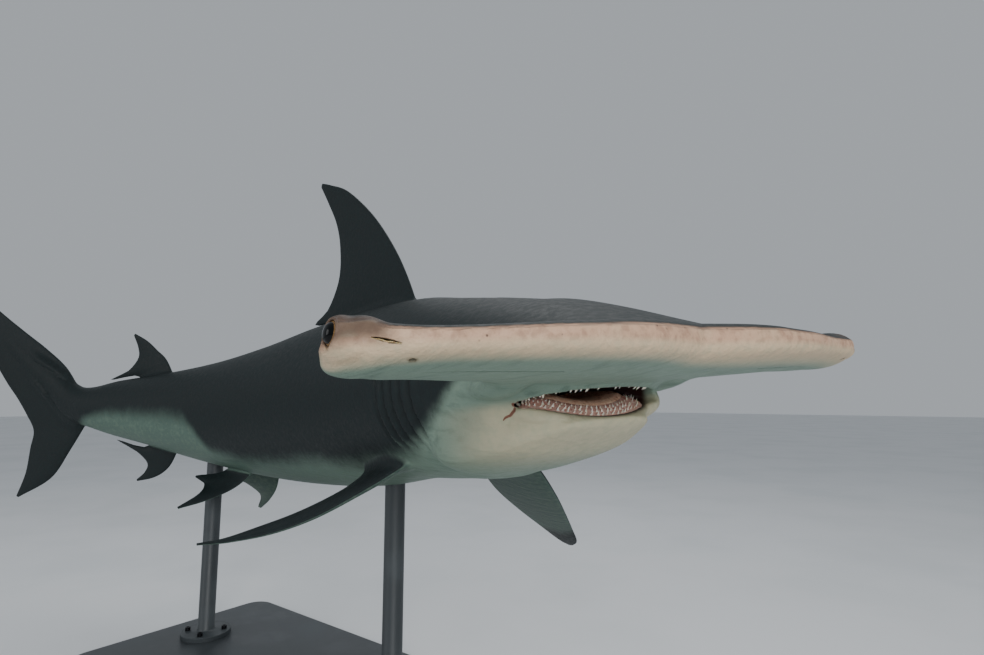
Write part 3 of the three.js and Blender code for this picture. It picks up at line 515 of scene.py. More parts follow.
def mouth_cavity():
    """The roof and the floor of the open mouth, from the throat to past the lips."""
    reach, t = np.meshgrid(np.linspace(*CAVITY_REACHES, 40), np.linspace(*CAVITY_ENDS, 90), indexing="ij")
    roof = mouth_surface(UPPER_LIP, ROOF_RISE, reach, t)
    floor = mouth_surface(LOWER_LIP, FLOOR_RISE, reach, t)
    floor[..., 2] = np.minimum(floor[..., 2], roof[..., 2] - 0.0001)
    return roof, floor


# Grid steps of the skin, in millimetres: fine at the mouth, the gills and the tips of the hammer
BACK_STEPS = [[-0.05, 4.4], [0.1, 4.4], [0.115, 6], [0.14, 6], [0.15, 4], [0.2, 4], [0.22, 15], [0.69, 15],
              [0.72, 8], [1, 8]]
HEAD_ACROSS_STEPS = [[0, 4.8], [0.044, 4.8], [0.05, 7], [0.098, 7], [0.104, 3.4], [0.2, 3.4]]
HEAD_UP_STEPS = [[-0.2, 7.5], [-0.034, 6.5], [-0.03, 3.2], [-0.006, 3.2], [-0.004, 3.6], [0.011, 3.6],
                 [0.014, 7], [0.2, 7.5]]
BODY_ACROSS_STEPS = [[0, 8], [0.015, 8], [0.03, 11], [0.2, 11]]
BODY_UP_STEPS = [[-0.2, 11], [0.2, 11]]
HEAD_END = (0.108, 0.142)


RULER_SPAN = (-0.2, 1.0)
RULER_MARKS = 12001


def ruler(steps):
    """Where the marks of an axis lie, and how many grid steps come before each."""
    at = np.linspace(*RULER_SPAN, RULER_MARKS)
    size = np.interp(at, *zip(*steps)) * MM / LENGTH
    counted = np.concatenate([[0], np.cumsum(np.diff(at) * 0.5 * (1 / size[1:] + 1 / size[:-1]))])
    return at, counted - np.interp(0, at, counted)


def both_ways(steps):
    """Grid steps that are given out from the middle, on both sides of it."""
    return [[-at, size] for at, size in reversed(steps) if at > 0] + steps


RULERS = {
    "back": ruler(BACK_STEPS),
    "head_across": ruler(both_ways(HEAD_ACROSS_STEPS)),
    "head_up": ruler(HEAD_UP_STEPS),
    "body_across": ruler(both_ways(BODY_ACROSS_STEPS)),
    "body_up": ruler(BODY_UP_STEPS),
}


def counted(axis, value):
    """Grid steps from the middle of an axis to a value on it."""
    return np.interp(value, *RULERS[axis])


def to_grid(places):
    """The same places counted in grid steps, so that an even grid there is fine where the skin needs it."""
    s, l, u = np.moveaxis(np.asarray(places), -1, 0)
    body = smoothstep(*HEAD_END, s)
    across = lerp(counted("head_across", l), counted("body_across", l), body)
    up = lerp(counted("head_up", u), counted("body_up", u), body)
    return np.stack([-counted("back", s), across, up], axis=-1)


GRID_REACH = 0.19
HALVINGS = 40


def from_grid(points):
    """The places on the animal of points counted in grid steps, found by halving."""
    at, marks = RULERS["back"]
    s = np.interp(-points[:, 0], marks, at)
    body = smoothstep(*HEAD_END, s)
    found = []
    for axis, target in (("across", points[:, 1]), ("up", points[:, 2])):
        low = np.full(len(s), -GRID_REACH)
        high = np.full(len(s), GRID_REACH)
        for _ in range(HALVINGS):
            middle = (low + high) / 2
            value = lerp(counted("head_" + axis, middle), counted("body_" + axis, middle), body)
            low = np.where(value < target, middle, low)
            high = np.where(value < target, high, middle)
        found.append((low + high) / 2)
    return np.stack([s, found[0], found[1]], axis=-1)


def cheek(side):
    """Flesh that closes the side of the head behind the corner of the mouth."""
    return ball((0.107, side * 0.034, -0.0195), (0.0205, 0.0112, 0.0125))


def left_fold():
    """The drawn-up flesh that closes the left end of the mouth."""
    return ball((0.08, 0.032, -0.019), (0.0145, 0.0092, 0.0082))


def cheek_web(side):
    """Flesh that carries the side of the head into the underside of the hammer."""
    return ball((0.08, side * 0.0455, -0.0095), (0.022, 0.0068, 0.0054))


def tip_lobe(side):
    """The full lower lobe of the hammer's tip, which the eye is sunk above."""
    return ball((0.0345, side * 0.1222, -0.0013), (0.0125, 0.0073, 0.0054))


def eyelid_mound(side):
    """The swelling of skin that holds the eye."""
    reach = LID_REACH / LENGTH
    return ball((EYE_PLACE[0], side * EYE_PLACE[1], EYE_PLACE[2]), (reach, reach, reach))


LIP_RADII = ((UPPER_LIP, 6.5 * MM, 1), (LOWER_LIP, 7.5 * MM, -1))
# Rounds of evening out: ripples of the grid, joints between the forms, and hollows that flesh fills
RIPPLE_ROUNDS = 5
JOINT_ROUNDS = 50
HOLLOW_ROUNDS = 30


def grown_body():
    """Head, body and tail core as one closed form on an even grid, then relaxed."""
    body = closed_tube("skin", to_grid(trunk()))
    forms = [hammer(), upper_jaw(), lower_jaw()]
    forms += [make(side) for _, side in SIDES for make in (cheek, cheek_web, tip_lobe, eyelid_mound)]
    forms.append(left_fold())
    for form in forms:
        combine(body, closed_tube("form", to_grid(form)), "UNION")
    roof, floor = mouth_cavity()
    combine(body, closed_slab("mouth", to_grid(roof), to_grid(floor)), "DIFFERENCE")
    for spec, radius, root in LIP_RADII:
        combine(body, closed_tube("lip", to_grid(lip(spec, radius, root))), "UNION")
    even = body.modifiers.new("even", "REMESH")
    even.mode = "VOXEL"
    even.voxel_size = 1.0
    settle(body)
    places = from_grid(points_of(body.data))
    move_points(body.data, straight(places))
    relax(body.data, RIPPLE_ROUNDS)
    relax(body.data, JOINT_ROUNDS, melting(places))
    relax(body.data, HOLLOW_ROUNDS, hollows(places), back=0)
    return body


def lip_distance(places):
    """How far each place is from the nearer lip, in metres."""
    t = np.linspace(0, 1, 90)
    nearest = np.full(len(places), 1.0)
    for point in np.concatenate([lip_path(UPPER_LIP, t), lip_path(LOWER_LIP, t)]):
        nearest = np.minimum(nearest, ((places - point) ** 2).sum(axis=1))
    return np.sqrt(nearest) * LENGTH


def melting(places):
    """Where the joints between the forms vanish: behind the jaws and under the hammer, not at the lips."""
    s, l, u = places.T
    far_out = np.abs(l)
    behind = smoothstep(0.045, 0.065, s) * smoothstep(0.26, 0.2, s) * smoothstep(0.085, 0.06, far_out)
    chin = smoothstep(-0.0262, -0.03, u) * smoothstep(0.13, 0.11, s)
    wing = 0.6 * smoothstep(0.05, 0.06, far_out) * smoothstep(0.118, 0.108, far_out) * smoothstep(0.1, 0.09, s)
    return np.maximum(behind * smoothstep(7 * MM, 26 * MM, lip_distance(places)), np.maximum(chin, wing))


def hollows(places):
    """Where flesh fills a hollow: between hammer and head, and at the left end of the mouth."""
    s, l, u = places.T
    far_out = np.abs(l)
    under = smoothstep(0.05, 0.062, s) * smoothstep(0.125, 0.11, s) * smoothstep(0.004, -0.002, u)
    under *= 0.8 * smoothstep(0.036, 0.043, far_out) * smoothstep(0.064, 0.054, far_out)
    fold = smoothstep(0.0295, 0.0345, l) * smoothstep(0.056, 0.066, s) * smoothstep(0.112, 0.1, s)
    fold *= smoothstep(-0.041, -0.034, u) * smoothstep(-0.006, -0.01, u)
    return np.maximum(under, fold)


# Gills: each slit drops behind a flap that stands a little proud
def gill_offset(places):
    """How far the skin moves out at the gills, and how deep in a slit each place is, where the skin is painted near
    black as painted shade in the slit.
    """
    s, l, u = places.T
    down = (GILL_TOP - u) / (GILL_TOP - GILL_BOTTOM)
    inside = smoothstep(-0.04, 0.1, down) * smoothstep(1.04, 0.9, down) * (np.abs(l) > GILL_INNER)
    bow = 0.0035 * np.sin(np.pi * np.clip(down, 0, 1)) - 0.006 * np.clip(down, 0, 1) ** 2
    offset = np.zeros(len(s))
    slit = np.zeros(len(s))
    for start in GILL_PLACES:
        behind = (s - start - bow) * LENGTH / MM
        flap = GILL_FLAP * smoothstep(-30, -4, behind) * smoothstep(1, -1.5, behind)
        drop = -GILL_DEPTH * smoothstep(-1.5, 2.5, behind) * smoothstep(21, 3.5, behind)
        offset += (flap + drop) * inside
        slit = np.maximum(slit, smoothstep(-1.5, 1, behind) * smoothstep(8, 3, behind) * inside)
    return offset * MM, slit


def sink_gills(obj):
    mesh = obj.data
    offset, _ = gill_offset(places_of(points_of(mesh)))
    move_points(mesh, points_of(mesh) + normals_of(mesh) * offset[:, None])


# Creases, each with its half width: the fold that runs back and down from each corner of the mouth, and the
# long one under the hammer
CREASES = [
    ([(0.0805, 0.0383, -0.0182), (0.0835, 0.0392, -0.0208), (0.0872, 0.0399, -0.0243)], 2.1 * MM),
    ([(0.0255, 0.052, -0.02), (0.0272, 0.07, -0.02), (0.03, 0.085, -0.02), (0.033, 0.1, -0.02)], 1.5 * MM),
]
PATH_STEPS = 40
CREASE_FITS = 4
CREASE_SIDES = 10


def crease_path(skin, knots, side):
    """A smooth line through some places, laid on the nearest skin."""
    knots = np.array(knots) * [1, side, 1]
    t = np.linspace(0, 1, PATH_STEPS)
    table = np.column_stack([np.linspace(0, 1, len(knots)), straight(knots)])
    line = np.stack([smooth(table, t, k) for k in (1, 2, 3)], axis=-1)
    for _ in range(CREASE_FITS):
        line = np.array([skin.find_nearest(Vector(point))[0] for point in line])
        line[1:-1] = (line[:-2] + 2 * line[1:-1] + line[2:]) / 4
    return line


def cut_creases(obj):
    """Cut the creases, and give back the line and the half widths of each."""
    lines = []
    for knots, half in CREASES:
        for _, side in SIDES:
            skin = BVHTree.FromObject(obj, bpy.context.evaluated_depsgraph_get())
            path = places_of(crease_path(skin, knots, side))
            taper = np.sin(np.pi * np.linspace(0.2, 0.97, len(path))) ** 0.6
            lines.append((path, half * taper))
            groove = tube_along(path, half * taper, CREASE_SIDES)
            combine(obj, closed_tube("crease", straight(groove)), "DIFFERENCE")
    return lines


def eye_frame(side):
    """The eye's centre and its outward, rearward and upward directions on the straight animal. It looks a
    little ahead and up."""
    centre = straight((EYE_PLACE[0], side * EYE_PLACE[1], EYE_PLACE[2]))
    level = np.array([math.sin(EYE_TURN), side * math.cos(EYE_TURN), 0.0])
    back = np.array([-math.cos(EYE_TURN), side * math.sin(EYE_TURN), 0.0])
    top = np.array([0.0, 0.0, 1.0])
    out = level * math.cos(EYE_RISE) + top * math.sin(EYE_RISE)
    return centre, out, back, top * math.cos(EYE_RISE) - level * math.sin(EYE_RISE)


# The opening of the lids: how far out from the eye's centre, and how wide there
LID_STEPS = [[8, 9], [8.6, 12.6], [11, 13.5], [13, 15], [17, 19], [30, 26]]
RIM_REACH = 12.2 * MM
RIM_RADIUS = 15 * MM
RIM_THICK = 1.7 * MM


LID_FLATTENING = 0.05
LID_POINT = 0.24


def lid_outline(turn):
    """The opening beside a round one: a little flat on top and drawn down to a point below."""
    upper = np.clip(np.sin(turn), 0, 1)
    lower = np.clip(-np.sin(turn), 0, 1)
    return 1 - LID_FLATTENING * upper ** 2 + LID_POINT * lower ** 7


def lid_ring(side, reach, radius, sides=72):
    """Places round the eye's axis, at one reach out from its centre."""
    centre, out, back, up = eye_frame(side)
    turn = np.linspace(0, 2 * np.pi, sides, endpoint=False)
    edge = back[None, :] * np.cos(turn)[:, None] + up[None, :] * np.sin(turn)[:, None]
    return centre + out * reach + edge * radius * lid_outline(turn)[:, None]


def lid_rim(side):
    """The soft edge of the lids, a closed ring half sunk in the skin."""
    section = np.linspace(0, 2 * np.pi, 12, endpoint=False)
    rings = np.array([lid_ring(side, RIM_REACH + RIM_THICK * np.sin(a), RIM_RADIUS + RIM_THICK * np.cos(a))
                      for a in section])
    return closed_ring("rim", rings)


def closed_ring(name, rings):
    """A closed form from rings that follow each other round."""
    numbers = np.arange(rings.shape[0] * rings.shape[1]).reshape(rings.shape[:2])
    after = np.roll(numbers, -1, axis=0)
    faces = np.stack([numbers, np.roll(numbers, -1, axis=1), np.roll(after, -1, axis=1), after], axis=-1)
    return face_outwards(new_object(name, rings.reshape(-1, 3), faces.reshape(-1, 4).tolist()))


def cut_eyes(obj):
    """Cut the opening of the lids on each side, and set their soft edge round it."""
    for _, side in SIDES:
        rings = [lid_ring(side, reach * MM, radius * MM) for reach, radius in LID_STEPS]
        combine(obj, closed_tube("opening", rings), "DIFFERENCE")
        combine(obj, lid_rim(side), "UNION")


# Nostril: its two ends as distance out and height, its half width and its depth
NOSTRIL_ENDS = ((0.1196, 0.0002), (0.1126, -0.0021))
NOSTRIL_HALF = 1.6 * MM
NOSTRIL_DEPTH = 8 * MM
FLAP_SINK = 0.0005
FLAP_HALF = 0.75 * MM
PIT_PLACE = (0.0207, 0.1083, -0.0062)
PIT_SIZE = (0.001, 0.0011, 0.0024)
PIT_SHADE = 0.55


def nostril_path(side, sink=0.0):
    """The slit's line along the front margin, from its outer end; sink moves it back into the head."""
    t = np.linspace(0, 1, PATH_STEPS)
    out, up = (lerp(outer, inner, t) for outer, inner in zip(*NOSTRIL_ENDS))
    return np.stack([smooth(HAMMER_FRONT, out) + sink, side * out, up], axis=-1)


def nostril(side):
    """The slit, widest in its middle and much deeper than wide."""
    swell = np.sin(np.pi * np.linspace(0.02, 0.98, PATH_STEPS)) ** 0.6
    path = nostril_path(side)
    rings = tube_along(path, NOSTRIL_HALF * swell + 0.2 * MM, 16)
    rings[..., 0] = path[:, None, 0] + (rings[..., 0] - path[:, None, 0]) * NOSTRIL_DEPTH / NOSTRIL_HALF
    return rings


def nasal_flap(side):
    """The lobe of skin that lies along the lower edge of the slit, just inside it."""
    t = np.linspace(0, 1, PATH_STEPS)
    path = nostril_path(side, FLAP_SINK)
    path[:, 2] -= 0.45 * NOSTRIL_HALF / LENGTH * np.sin(np.pi * t) * (1 + 0.5 * np.sin(5 * np.pi * t))
    return tube_along(path, FLAP_HALF * np.sin(np.pi * np.linspace(0.06, 0.94, PATH_STEPS)) ** 0.5, 12)


def cut_nostrils(obj):
    """Cut the slits, and the small pit in the skin inside each of them."""
    for _, side in SIDES:
        combine(obj, closed_tube("nostril", straight(nostril(side))), "DIFFERENCE")
        pit = ball((PIT_PLACE[0], side * PIT_PLACE[1], PIT_PLACE[2]), PIT_SIZE, 20)
        combine(obj, closed_tube("pit", straight(pit)), "DIFFERENCE")


# Fins
FIN_EDGE = 1.1 * MM
FILLET = 26 * MM


def outside(places):
    """Distance from the trunk's surface along the ray from its middle, positive outside, in metres."""
    s, l, u = np.moveaxis(np.asarray(places), -1, 0)
    middle, top, bottom, half = (smooth(TRUNK, s, column) for column in (1, 2, 3, 4))
    up = u - middle
    fullness = np.where(up > 0, BACK_FULLNESS, BELLY_FULLNESS)
    height = np.where(up > 0, top, bottom)
    reach = (np.abs(l / half) ** (2 / fullness) + np.abs(up / height) ** (2 / fullness)) ** (fullness / 2)
    return np.hypot(l, up) * (1 - 1 / np.maximum(reach, 1e-6)) * LENGTH


def fillet(distance, radius):
    """How far a fin's root spreads at each distance from the trunk."""
    rise = np.clip(distance / radius, 0, 1)
    round_part = radius * (1 - np.sqrt(np.maximum(0, 1 - (1 - rise) ** 2)))
    return np.where(distance < 0, np.maximum(radius + 1.5 * distance, 0), round_part)


SEAT_DEPTH = 1.5 * MM


def seated(points, wanted):
    """Move the spread root of a fin along the body's own rays, so that its edge lies just under the skin."""
    places = places_of(points)
    middle = smooth(TRUNK, places[..., 0])
    ray = np.stack([0 * middle, places[..., 1], places[..., 2] - middle], axis=-1)
    ray /= np.linalg.norm(ray, axis=-1)[..., None]
    gap = outside(places) - wanted + SEAT_DEPTH * smoothstep(4 * MM, 0, wanted)
    return points - ray * gap[..., None]


def timed(points):
    """Knots of a fin's edge: places that come with no time are spread evenly from root to tip."""
    last = len(points) - 1
    return [[i / last, *point] if len(point) == 3 else list(point) for i, point in enumerate(points)]


def round_ring(columns):
    """How far back along a fin each point of its ring lies: out along one face and home along the other."""
    return np.concatenate([np.linspace(0, 1, columns), np.linspace(1, 0, columns)])


def fin_sections(spec, columns, fine=240):
    """Rings of points round a fin, at many even steps from inside the body to the tip."""
    t = np.linspace(0, 1, fine)[:, None]
    chord = (0.5 - 0.5 * np.cos(np.linspace(0, np.pi, columns)))[None, :]
    lead, trail = timed(spec["lead"]), timed(spec["trail"])
    front = np.stack([smooth(lead, t, k) for k in (1, 2, 3)], axis=-1)
    rear = np.stack([smooth(trail, t, k) for k in (1, 2, 3)], axis=-1)
    middle = straight(lerp(front, rear, chord[..., None]))
    thick = smooth(spec["thick"], t) * MM / 2
    bulge = 1.9 * chord ** 0.55 * (1 - chord) ** 0.95
    half = FIN_EDGE + np.maximum(thick - FIN_EDGE, 0) * bulge
    along = np.gradient(middle, axis=1)
    span = np.gradient(middle, axis=0)
    normal = np.cross(along, span)
    normal /= np.linalg.norm(normal, axis=-1)[..., None] + 1e-12
    offset = normal * half[..., None]
    return np.concatenate([middle + offset, (middle - offset)[:, ::-1]], axis=1)


def ring_outwards(rings):
    """Outward directions round each ring, square to the fin's span."""
    ahead = np.roll(rings, -1, axis=1) - np.roll(rings, 1, axis=1)
    span = np.gradient(rings.mean(axis=1), axis=0)[:, None, :]
    out = np.cross(ahead, span)
    out /= np.linalg.norm(out, axis=-1)[..., None] + 1e-12
    away = rings - rings.mean(axis=1)[:, None, :]
    turned = np.sign((out * away).sum(axis=(1, 2)))[:, None, None]
    return out * np.where(turned == 0, 1, turned)


# How far from the trunk the rings round a fin's root lie, in fillet radii
ROOT_LEVELS = np.array([-0.5, -0.28, -0.12, -0.04, 0.0, 0.03, 0.08, 0.15, 0.25, 0.38, 0.55, 0.76, 1.0])


def fin(spec, columns, rows, radius):
    """A fin whose root spreads into the body in a fillet and ends just under its skin."""
    rings = fin_sections(spec, columns)
    distance = outside(places_of(rings))
    out = ring_outwards(rings)
    chord_share = round_ring(columns)
    local = radius * lerp(1, 0.3, smoothstep(0.72, 1, chord_share))
    local *= lerp(0.5, 1, smoothstep(0, 0.35, chord_share))
    even = np.linspace(0, 1, len(rings))
    points = np.empty((len(ROOT_LEVELS) + rows, rings.shape[1], 3))
    wanted = np.empty(points.shape[:2])
    for k in range(rings.shape[1]):
        climb = np.maximum.accumulate(distance[:, k]) + np.arange(len(even)) * 1e-9
        near = np.interp(ROOT_LEVELS * local[k], climb, even)
        far = lerp(near[-1], 1, np.linspace(0, 1, rows + 1)[1:])
        t = np.concatenate([near, far])
        wanted[:, k] = np.interp(t, even, distance[:, k])
        spread = fillet(wanted[:, k], local[k])
        for axis in range(3):
            points[:, k, axis] = (np.interp(t, even, rings[:, k, axis])
                                  + np.interp(t, even, out[:, k, axis]) * spread)
    return capped_fin(seated(points, wanted))


def capped_fin(points):
    """A closed fin from its rings, with both ends covered from face to face."""
    rows, around = points.shape[:2]
    faces = grid_faces(rows, around, closed=True)
    half = around // 2
    for start in (0, (rows - 1) * around):
        last = start + around - 1
        faces += [[start + k, start + k + 1, last - 1 - k, last - k] for k in range(half - 1)]
    return face_outwards(new_object("fin", points.reshape(-1, 3), faces))


# Knots of each fin's leading and trailing edge from root to tip, as places, with the time of each first where
# they aren't even, and its thickness in millimetres at some times
FIRST_DORSAL = {
    "lead": [[0.243, 0, 0.05], [0.2627, 0, 0.0891], [0.2838, 0, 0.12], [0.3137, -0.0003, 0.1541],
             [0.3496, -0.001, 0.185], [0.3745, -0.0018, 0.1978], [0.3885, -0.002, 0.2035]],
    "trail": [[0, 0.352, 0, 0.045], [0.1, 0.372, 0, 0.0695], [0.17, 0.4035, 0, 0.0728],
              [0.25, 0.384, 0, 0.0845], [0.35, 0.3675, 0, 0.108], [0.5, 0.364, -0.0003, 0.1355],
              [0.68, 0.368, -0.001, 0.159], [0.86, 0.379, -0.0018, 0.181], [1, 0.3905, -0.002, 0.2]],
    "thick": [[0, 40], [0.5, 24], [1, 7]],
}
SECOND_DORSAL = {
    "lead": [[0.602, 0, 0.028], [0.6185, 0, 0.0518], [0.634, 0, 0.063], [0.65, 0, 0.0735],
             [0.6685, 0, 0.0815]],
    "trail": [[0, 0.642, 0, 0.022], [0.2, 0.66, 0, 0.0355], [0.32, 0.696, 0, 0.0302],
              [0.45, 0.674, 0, 0.0395], [0.6, 0.6605, 0, 0.0535], [0.8, 0.6615, 0, 0.0655],
              [1, 0.67, 0, 0.0795]],
    "thick": [[0, 24], [0.5, 15], [1, 5]],
}
ANAL = {
    "lead": [[0.587, 0, -0.028], [0.598, 0, -0.0525], [0.6085, 0, -0.0635], [0.623, 0, -0.0705],
             [0.6425, 0, -0.0748]],
    "trail": [[0, 0.617, 0, -0.022], [0.2, 0.638, 0, -0.0395], [0.32, 0.677, 0, -0.0335],
              [0.45, 0.652, 0, -0.0425], [0.6, 0.6325, 0, -0.0545], [0.8, 0.6335, 0, -0.0645],
              [1, 0.6437, 0, -0.0732]],
    "thick": [[0, 22], [0.5, 14], [1, 5]],
}
PECTORALS = {
    "left": {
        "lead": [[0.186, 0.03, -0.035], [0.2005, 0.0606, -0.0579], [0.2165, 0.0865, -0.0785],
                 [0.233, 0.1095, -0.096], [0.2475, 0.13, -0.111], [0.2605, 0.1495, -0.1258],
                 [0.2695, 0.1562, -0.1312]],
        "trail": [[0.25, 0.026, -0.037], [0.264, 0.0565, -0.0565], [0.2755, 0.0825, -0.0765],
                  [0.279, 0.107, -0.0948], [0.2785, 0.13, -0.112], [0.276, 0.1478, -0.1262],
                  [0.2735, 0.155, -0.1312]],
        "thick": [[0, 42], [0.5, 26], [1, 6]],
    },
    "right": {
        "lead": [[0.187, 0.029, -0.036], [0.2035, 0.0433, -0.0475], [0.217, 0.0555, -0.0562],
                 [0.243, 0.0772, -0.0707], [0.268, 0.0965, -0.0795], [0.2935, 0.1155, -0.0836],
                 [0.3115, 0.1305, -0.0844]],
        "trail": [[0.25, 0.022, -0.036], [0.2655, 0.0405, -0.053], [0.2745, 0.0545, -0.0628],
                  [0.2865, 0.0765, -0.0722], [0.299, 0.0975, -0.0788], [0.3095, 0.1168, -0.0838],
                  [0.3145, 0.1303, -0.0847]],
        "thick": [[0, 42], [0.5, 26], [1, 6]],
    },
}
PELVICS = {
    "left": {
        "lead": [[0.461, 0.008, -0.045], [0.481, 0.0225, -0.0735], [0.505, 0.037, -0.09],
                 [0.5275, 0.0492, -0.1015]],
        "trail": [[0, 0.49, 0.006, -0.038], [0.22, 0.515, 0.0125, -0.058], [0.4, 0.546, 0.0168, -0.063],
                  [0.55, 0.528, 0.0225, -0.0705], [0.75, 0.517, 0.0355, -0.0845],
                  [1, 0.5305, 0.048, -0.1005]],
        "thick": [[0, 20], [0.5, 13], [1, 5]],
    },
    "right": {
        "lead": [[0.461, 0.008, -0.045], [0.481, 0.0225, -0.0685], [0.503, 0.0375, -0.0805],
                 [0.5235, 0.0505, -0.087]],
        "trail": [[0, 0.49, 0.006, -0.038], [0.22, 0.514, 0.0125, -0.058], [0.4, 0.546, 0.0168, -0.063],
                  [0.55, 0.527, 0.0225, -0.0675], [0.75, 0.515, 0.036, -0.075],
                  [1, 0.5265, 0.049, -0.0862]],
        "thick": [[0, 20], [0.5, 13], [1, 5]],
    },
}
# The whole tail fin runs from the lower tip, time 0, to the upper tip
TAIL_START = 0.7245
CAUDAL = {
    "lead": [[0, 0.0785, 0, -0.1045], [0.1, 0.0375, 0, -0.0805], [0.2, 0.0165, 0, -0.049],
             [0.3, -0.004, 0, -0.012], [0.38, -0.006, 0, 0.002], [0.46, 0.0105, 0, 0.0135],
             [0.55, 0.038, 0, 0.0415], [0.64, 0.0725, 0, 0.0625], [0.73, 0.108, 0, 0.0805],
             [0.81, 0.1465, 0, 0.1005], [0.88, 0.185, 0, 0.1222], [0.94, 0.222, 0, 0.1457],
             [0.985, 0.25, 0, 0.166], [1, 0.2575, 0, 0.1718]],
    "trail": [[0, 0.0815, 0, -0.1035], [0.1, 0.0738, 0, -0.078], [0.2, 0.0728, 0, -0.05],
              [0.29, 0.0722, 0, -0.0305], [0.38, 0.0865, 0, -0.0132], [0.46, 0.104, 0, 0.0041],
              [0.55, 0.1215, 0, 0.019], [0.64, 0.1395, 0, 0.036], [0.73, 0.164, 0, 0.0595],
              [0.81, 0.1925, 0, 0.0885], [0.865, 0.213, 0, 0.111], [0.885, 0.2185, 0, 0.1195],
              [0.9, 0.2275, 0, 0.1215], [0.94, 0.2415, 0, 0.1405], [0.985, 0.256, 0, 0.159],
              [1, 0.2605, 0, 0.1695]],
    "thick": [[0, 6], [0.2, 24], [0.4, 32], [0.6, 26], [0.85, 12], [1, 6]],
}


TAIL_COLUMNS = 30
TAIL_RINGS = 100
TAIL_ROUNDS = 40


def tail_fin():
    """The tail's blade, which the core of the tail runs up into."""
    spec = dict(CAUDAL)
    for edge in ("lead", "trail"):
        spec[edge] = [[time, TAIL_START + back, l, u] for time, back, l, u in CAUDAL[edge]]
    rings = fin_sections(spec, TAIL_COLUMNS, fine=TAIL_RINGS)
    places = places_of(rings)
    spread = fillet(outside(places), FILLET * 0.9) * smoothstep(0, 0.3, round_ring(TAIL_COLUMNS))
    spread *= smoothstep(0.835, 0.79, places[..., 0])
    return capped_fin(rings + ring_outwards(rings) * spread[..., None])


def soften_tail(obj):
    """Let the core of the tail melt into its blade."""
    places = places_of(points_of(obj.data))
    near = smoothstep(36 * MM, 10 * MM, np.abs(outside(places))) * smoothstep(0.712, 0.73, places[:, 0])
    relax(obj.data, TAIL_ROUNDS, near)


def on_side(spec, side):
    """A paired fin's table on the right side, -1, or the left, 1."""
    turned = {"thick": spec["thick"]}
    for edge in ("lead", "trail"):
        turned[edge] = [[*point[:-2], side * point[-2], point[-1]] for point in spec[edge]]
    return turned


def add_fins(obj):
    """Join every fin to the body."""
    fins = [(FIRST_DORSAL, 30, 36, 1.0), (SECOND_DORSAL, 18, 20, 0.5), (ANAL, 18, 20, 0.5)]
    for name, side in SIDES:
        fins.append((on_side(PECTORALS[name], side), 28, 34, 1.1))
        fins.append((on_side(PELVICS[name], side), 20, 20, 0.55))
    for spec, columns, rows, share in fins:
        combine(obj, fin(spec, columns, rows, FILLET * share), "UNION")
    combine(obj, tail_fin(), "UNION")


# Marks on the skin: numbers on its points that the skin's material reads
def mark(mesh, name, values):
    """Put one number on each point of a mesh."""
    layer = mesh.attributes.new(name, "FLOAT", "POINT")
    layer.data.foreach_set("value", np.asarray(values, dtype=float))


# Where the dark back meets the pale belly: s, and the height as a share of the body's own half height
# Behind the head, from s 0.1 to 0.3, the line lies low, so that the dark there is the neck's own dark skin together
# with painted shadow of the hammer on the neck
DARK_LINE = [[0.08, 0.3], [0.1, 0.03], [0.125, -0.22], [0.15, -0.44], [0.18, -0.68], [0.25, -0.76],
             [0.32, -0.66], [0.5, -0.66], [0.535, -0.15], [0.6, -0.05], [0.68, -0.15], [0.71, -0.5],
             [0.745, -1.6], [1, -1.6]]
DARK_BLEND = 0.3
REAR_BLEND = 1.8


def behind_margin(places):
    """How far each place is behind the hammer's front margin, in millimetres."""
    return (places[:, 0] - smooth(HAMMER_FRONT, np.abs(places[:, 1]))) * LENGTH / MM


def dark_marks(places, up_facing):
    """Where the skin is dark as on the back, and on the neck also as painted shadow of the hammer, where it is a
    fin's, and how far to the rear it is.
    """
    s, l, u = places.T
    far_out = np.abs(l)
    middle, top, bottom, _ = (smooth(TRUNK, s, column) for column in (1, 2, 3, 4))
    climb = (u - middle) / np.where(u > middle, top, bottom)
    line = smooth(DARK_LINE, s)
    blend = DARK_BLEND * lerp(1, REAR_BLEND, smoothstep(0.5, 0.56, s))
    flank = smoothstep(line - blend, line + blend, climb)
    wing = smoothstep(0.044, 0.054, far_out) * smoothstep(0.105, 0.09, s)
    wing = np.maximum(wing, smoothstep(0.1, 0.08, s))
    hammer_top = smoothstep(0.25, 0.6, up_facing) * smoothstep(-0.006, 0.001, u)
    hammer_top *= 1 - smoothstep(0.116, 0.1195, far_out) * smoothstep(0.0062, 0.0046, u)
    hammer_top = np.maximum(hammer_top, smoothstep(0.004, 0.009, u) * smoothstep(14, 34, behind_margin(places)))
    fin_share = smoothstep(-4 * MM, 14 * MM, outside(places)) * smoothstep(0.15, 0.19, s)
    fin_tone = np.where((u > 0) | (s > 0.57), 1.0, smoothstep(-0.75, 0.0, up_facing))
    tip = smoothstep(0.115, 0.15, far_out) * (s > 0.15)
    back = np.maximum(lerp(lerp(flank, hammer_top, wing), fin_tone, fin_share), tip)
    return {"back": back, "fin": fin_share, "rear": smoothstep(0.16, 0.42, s)}


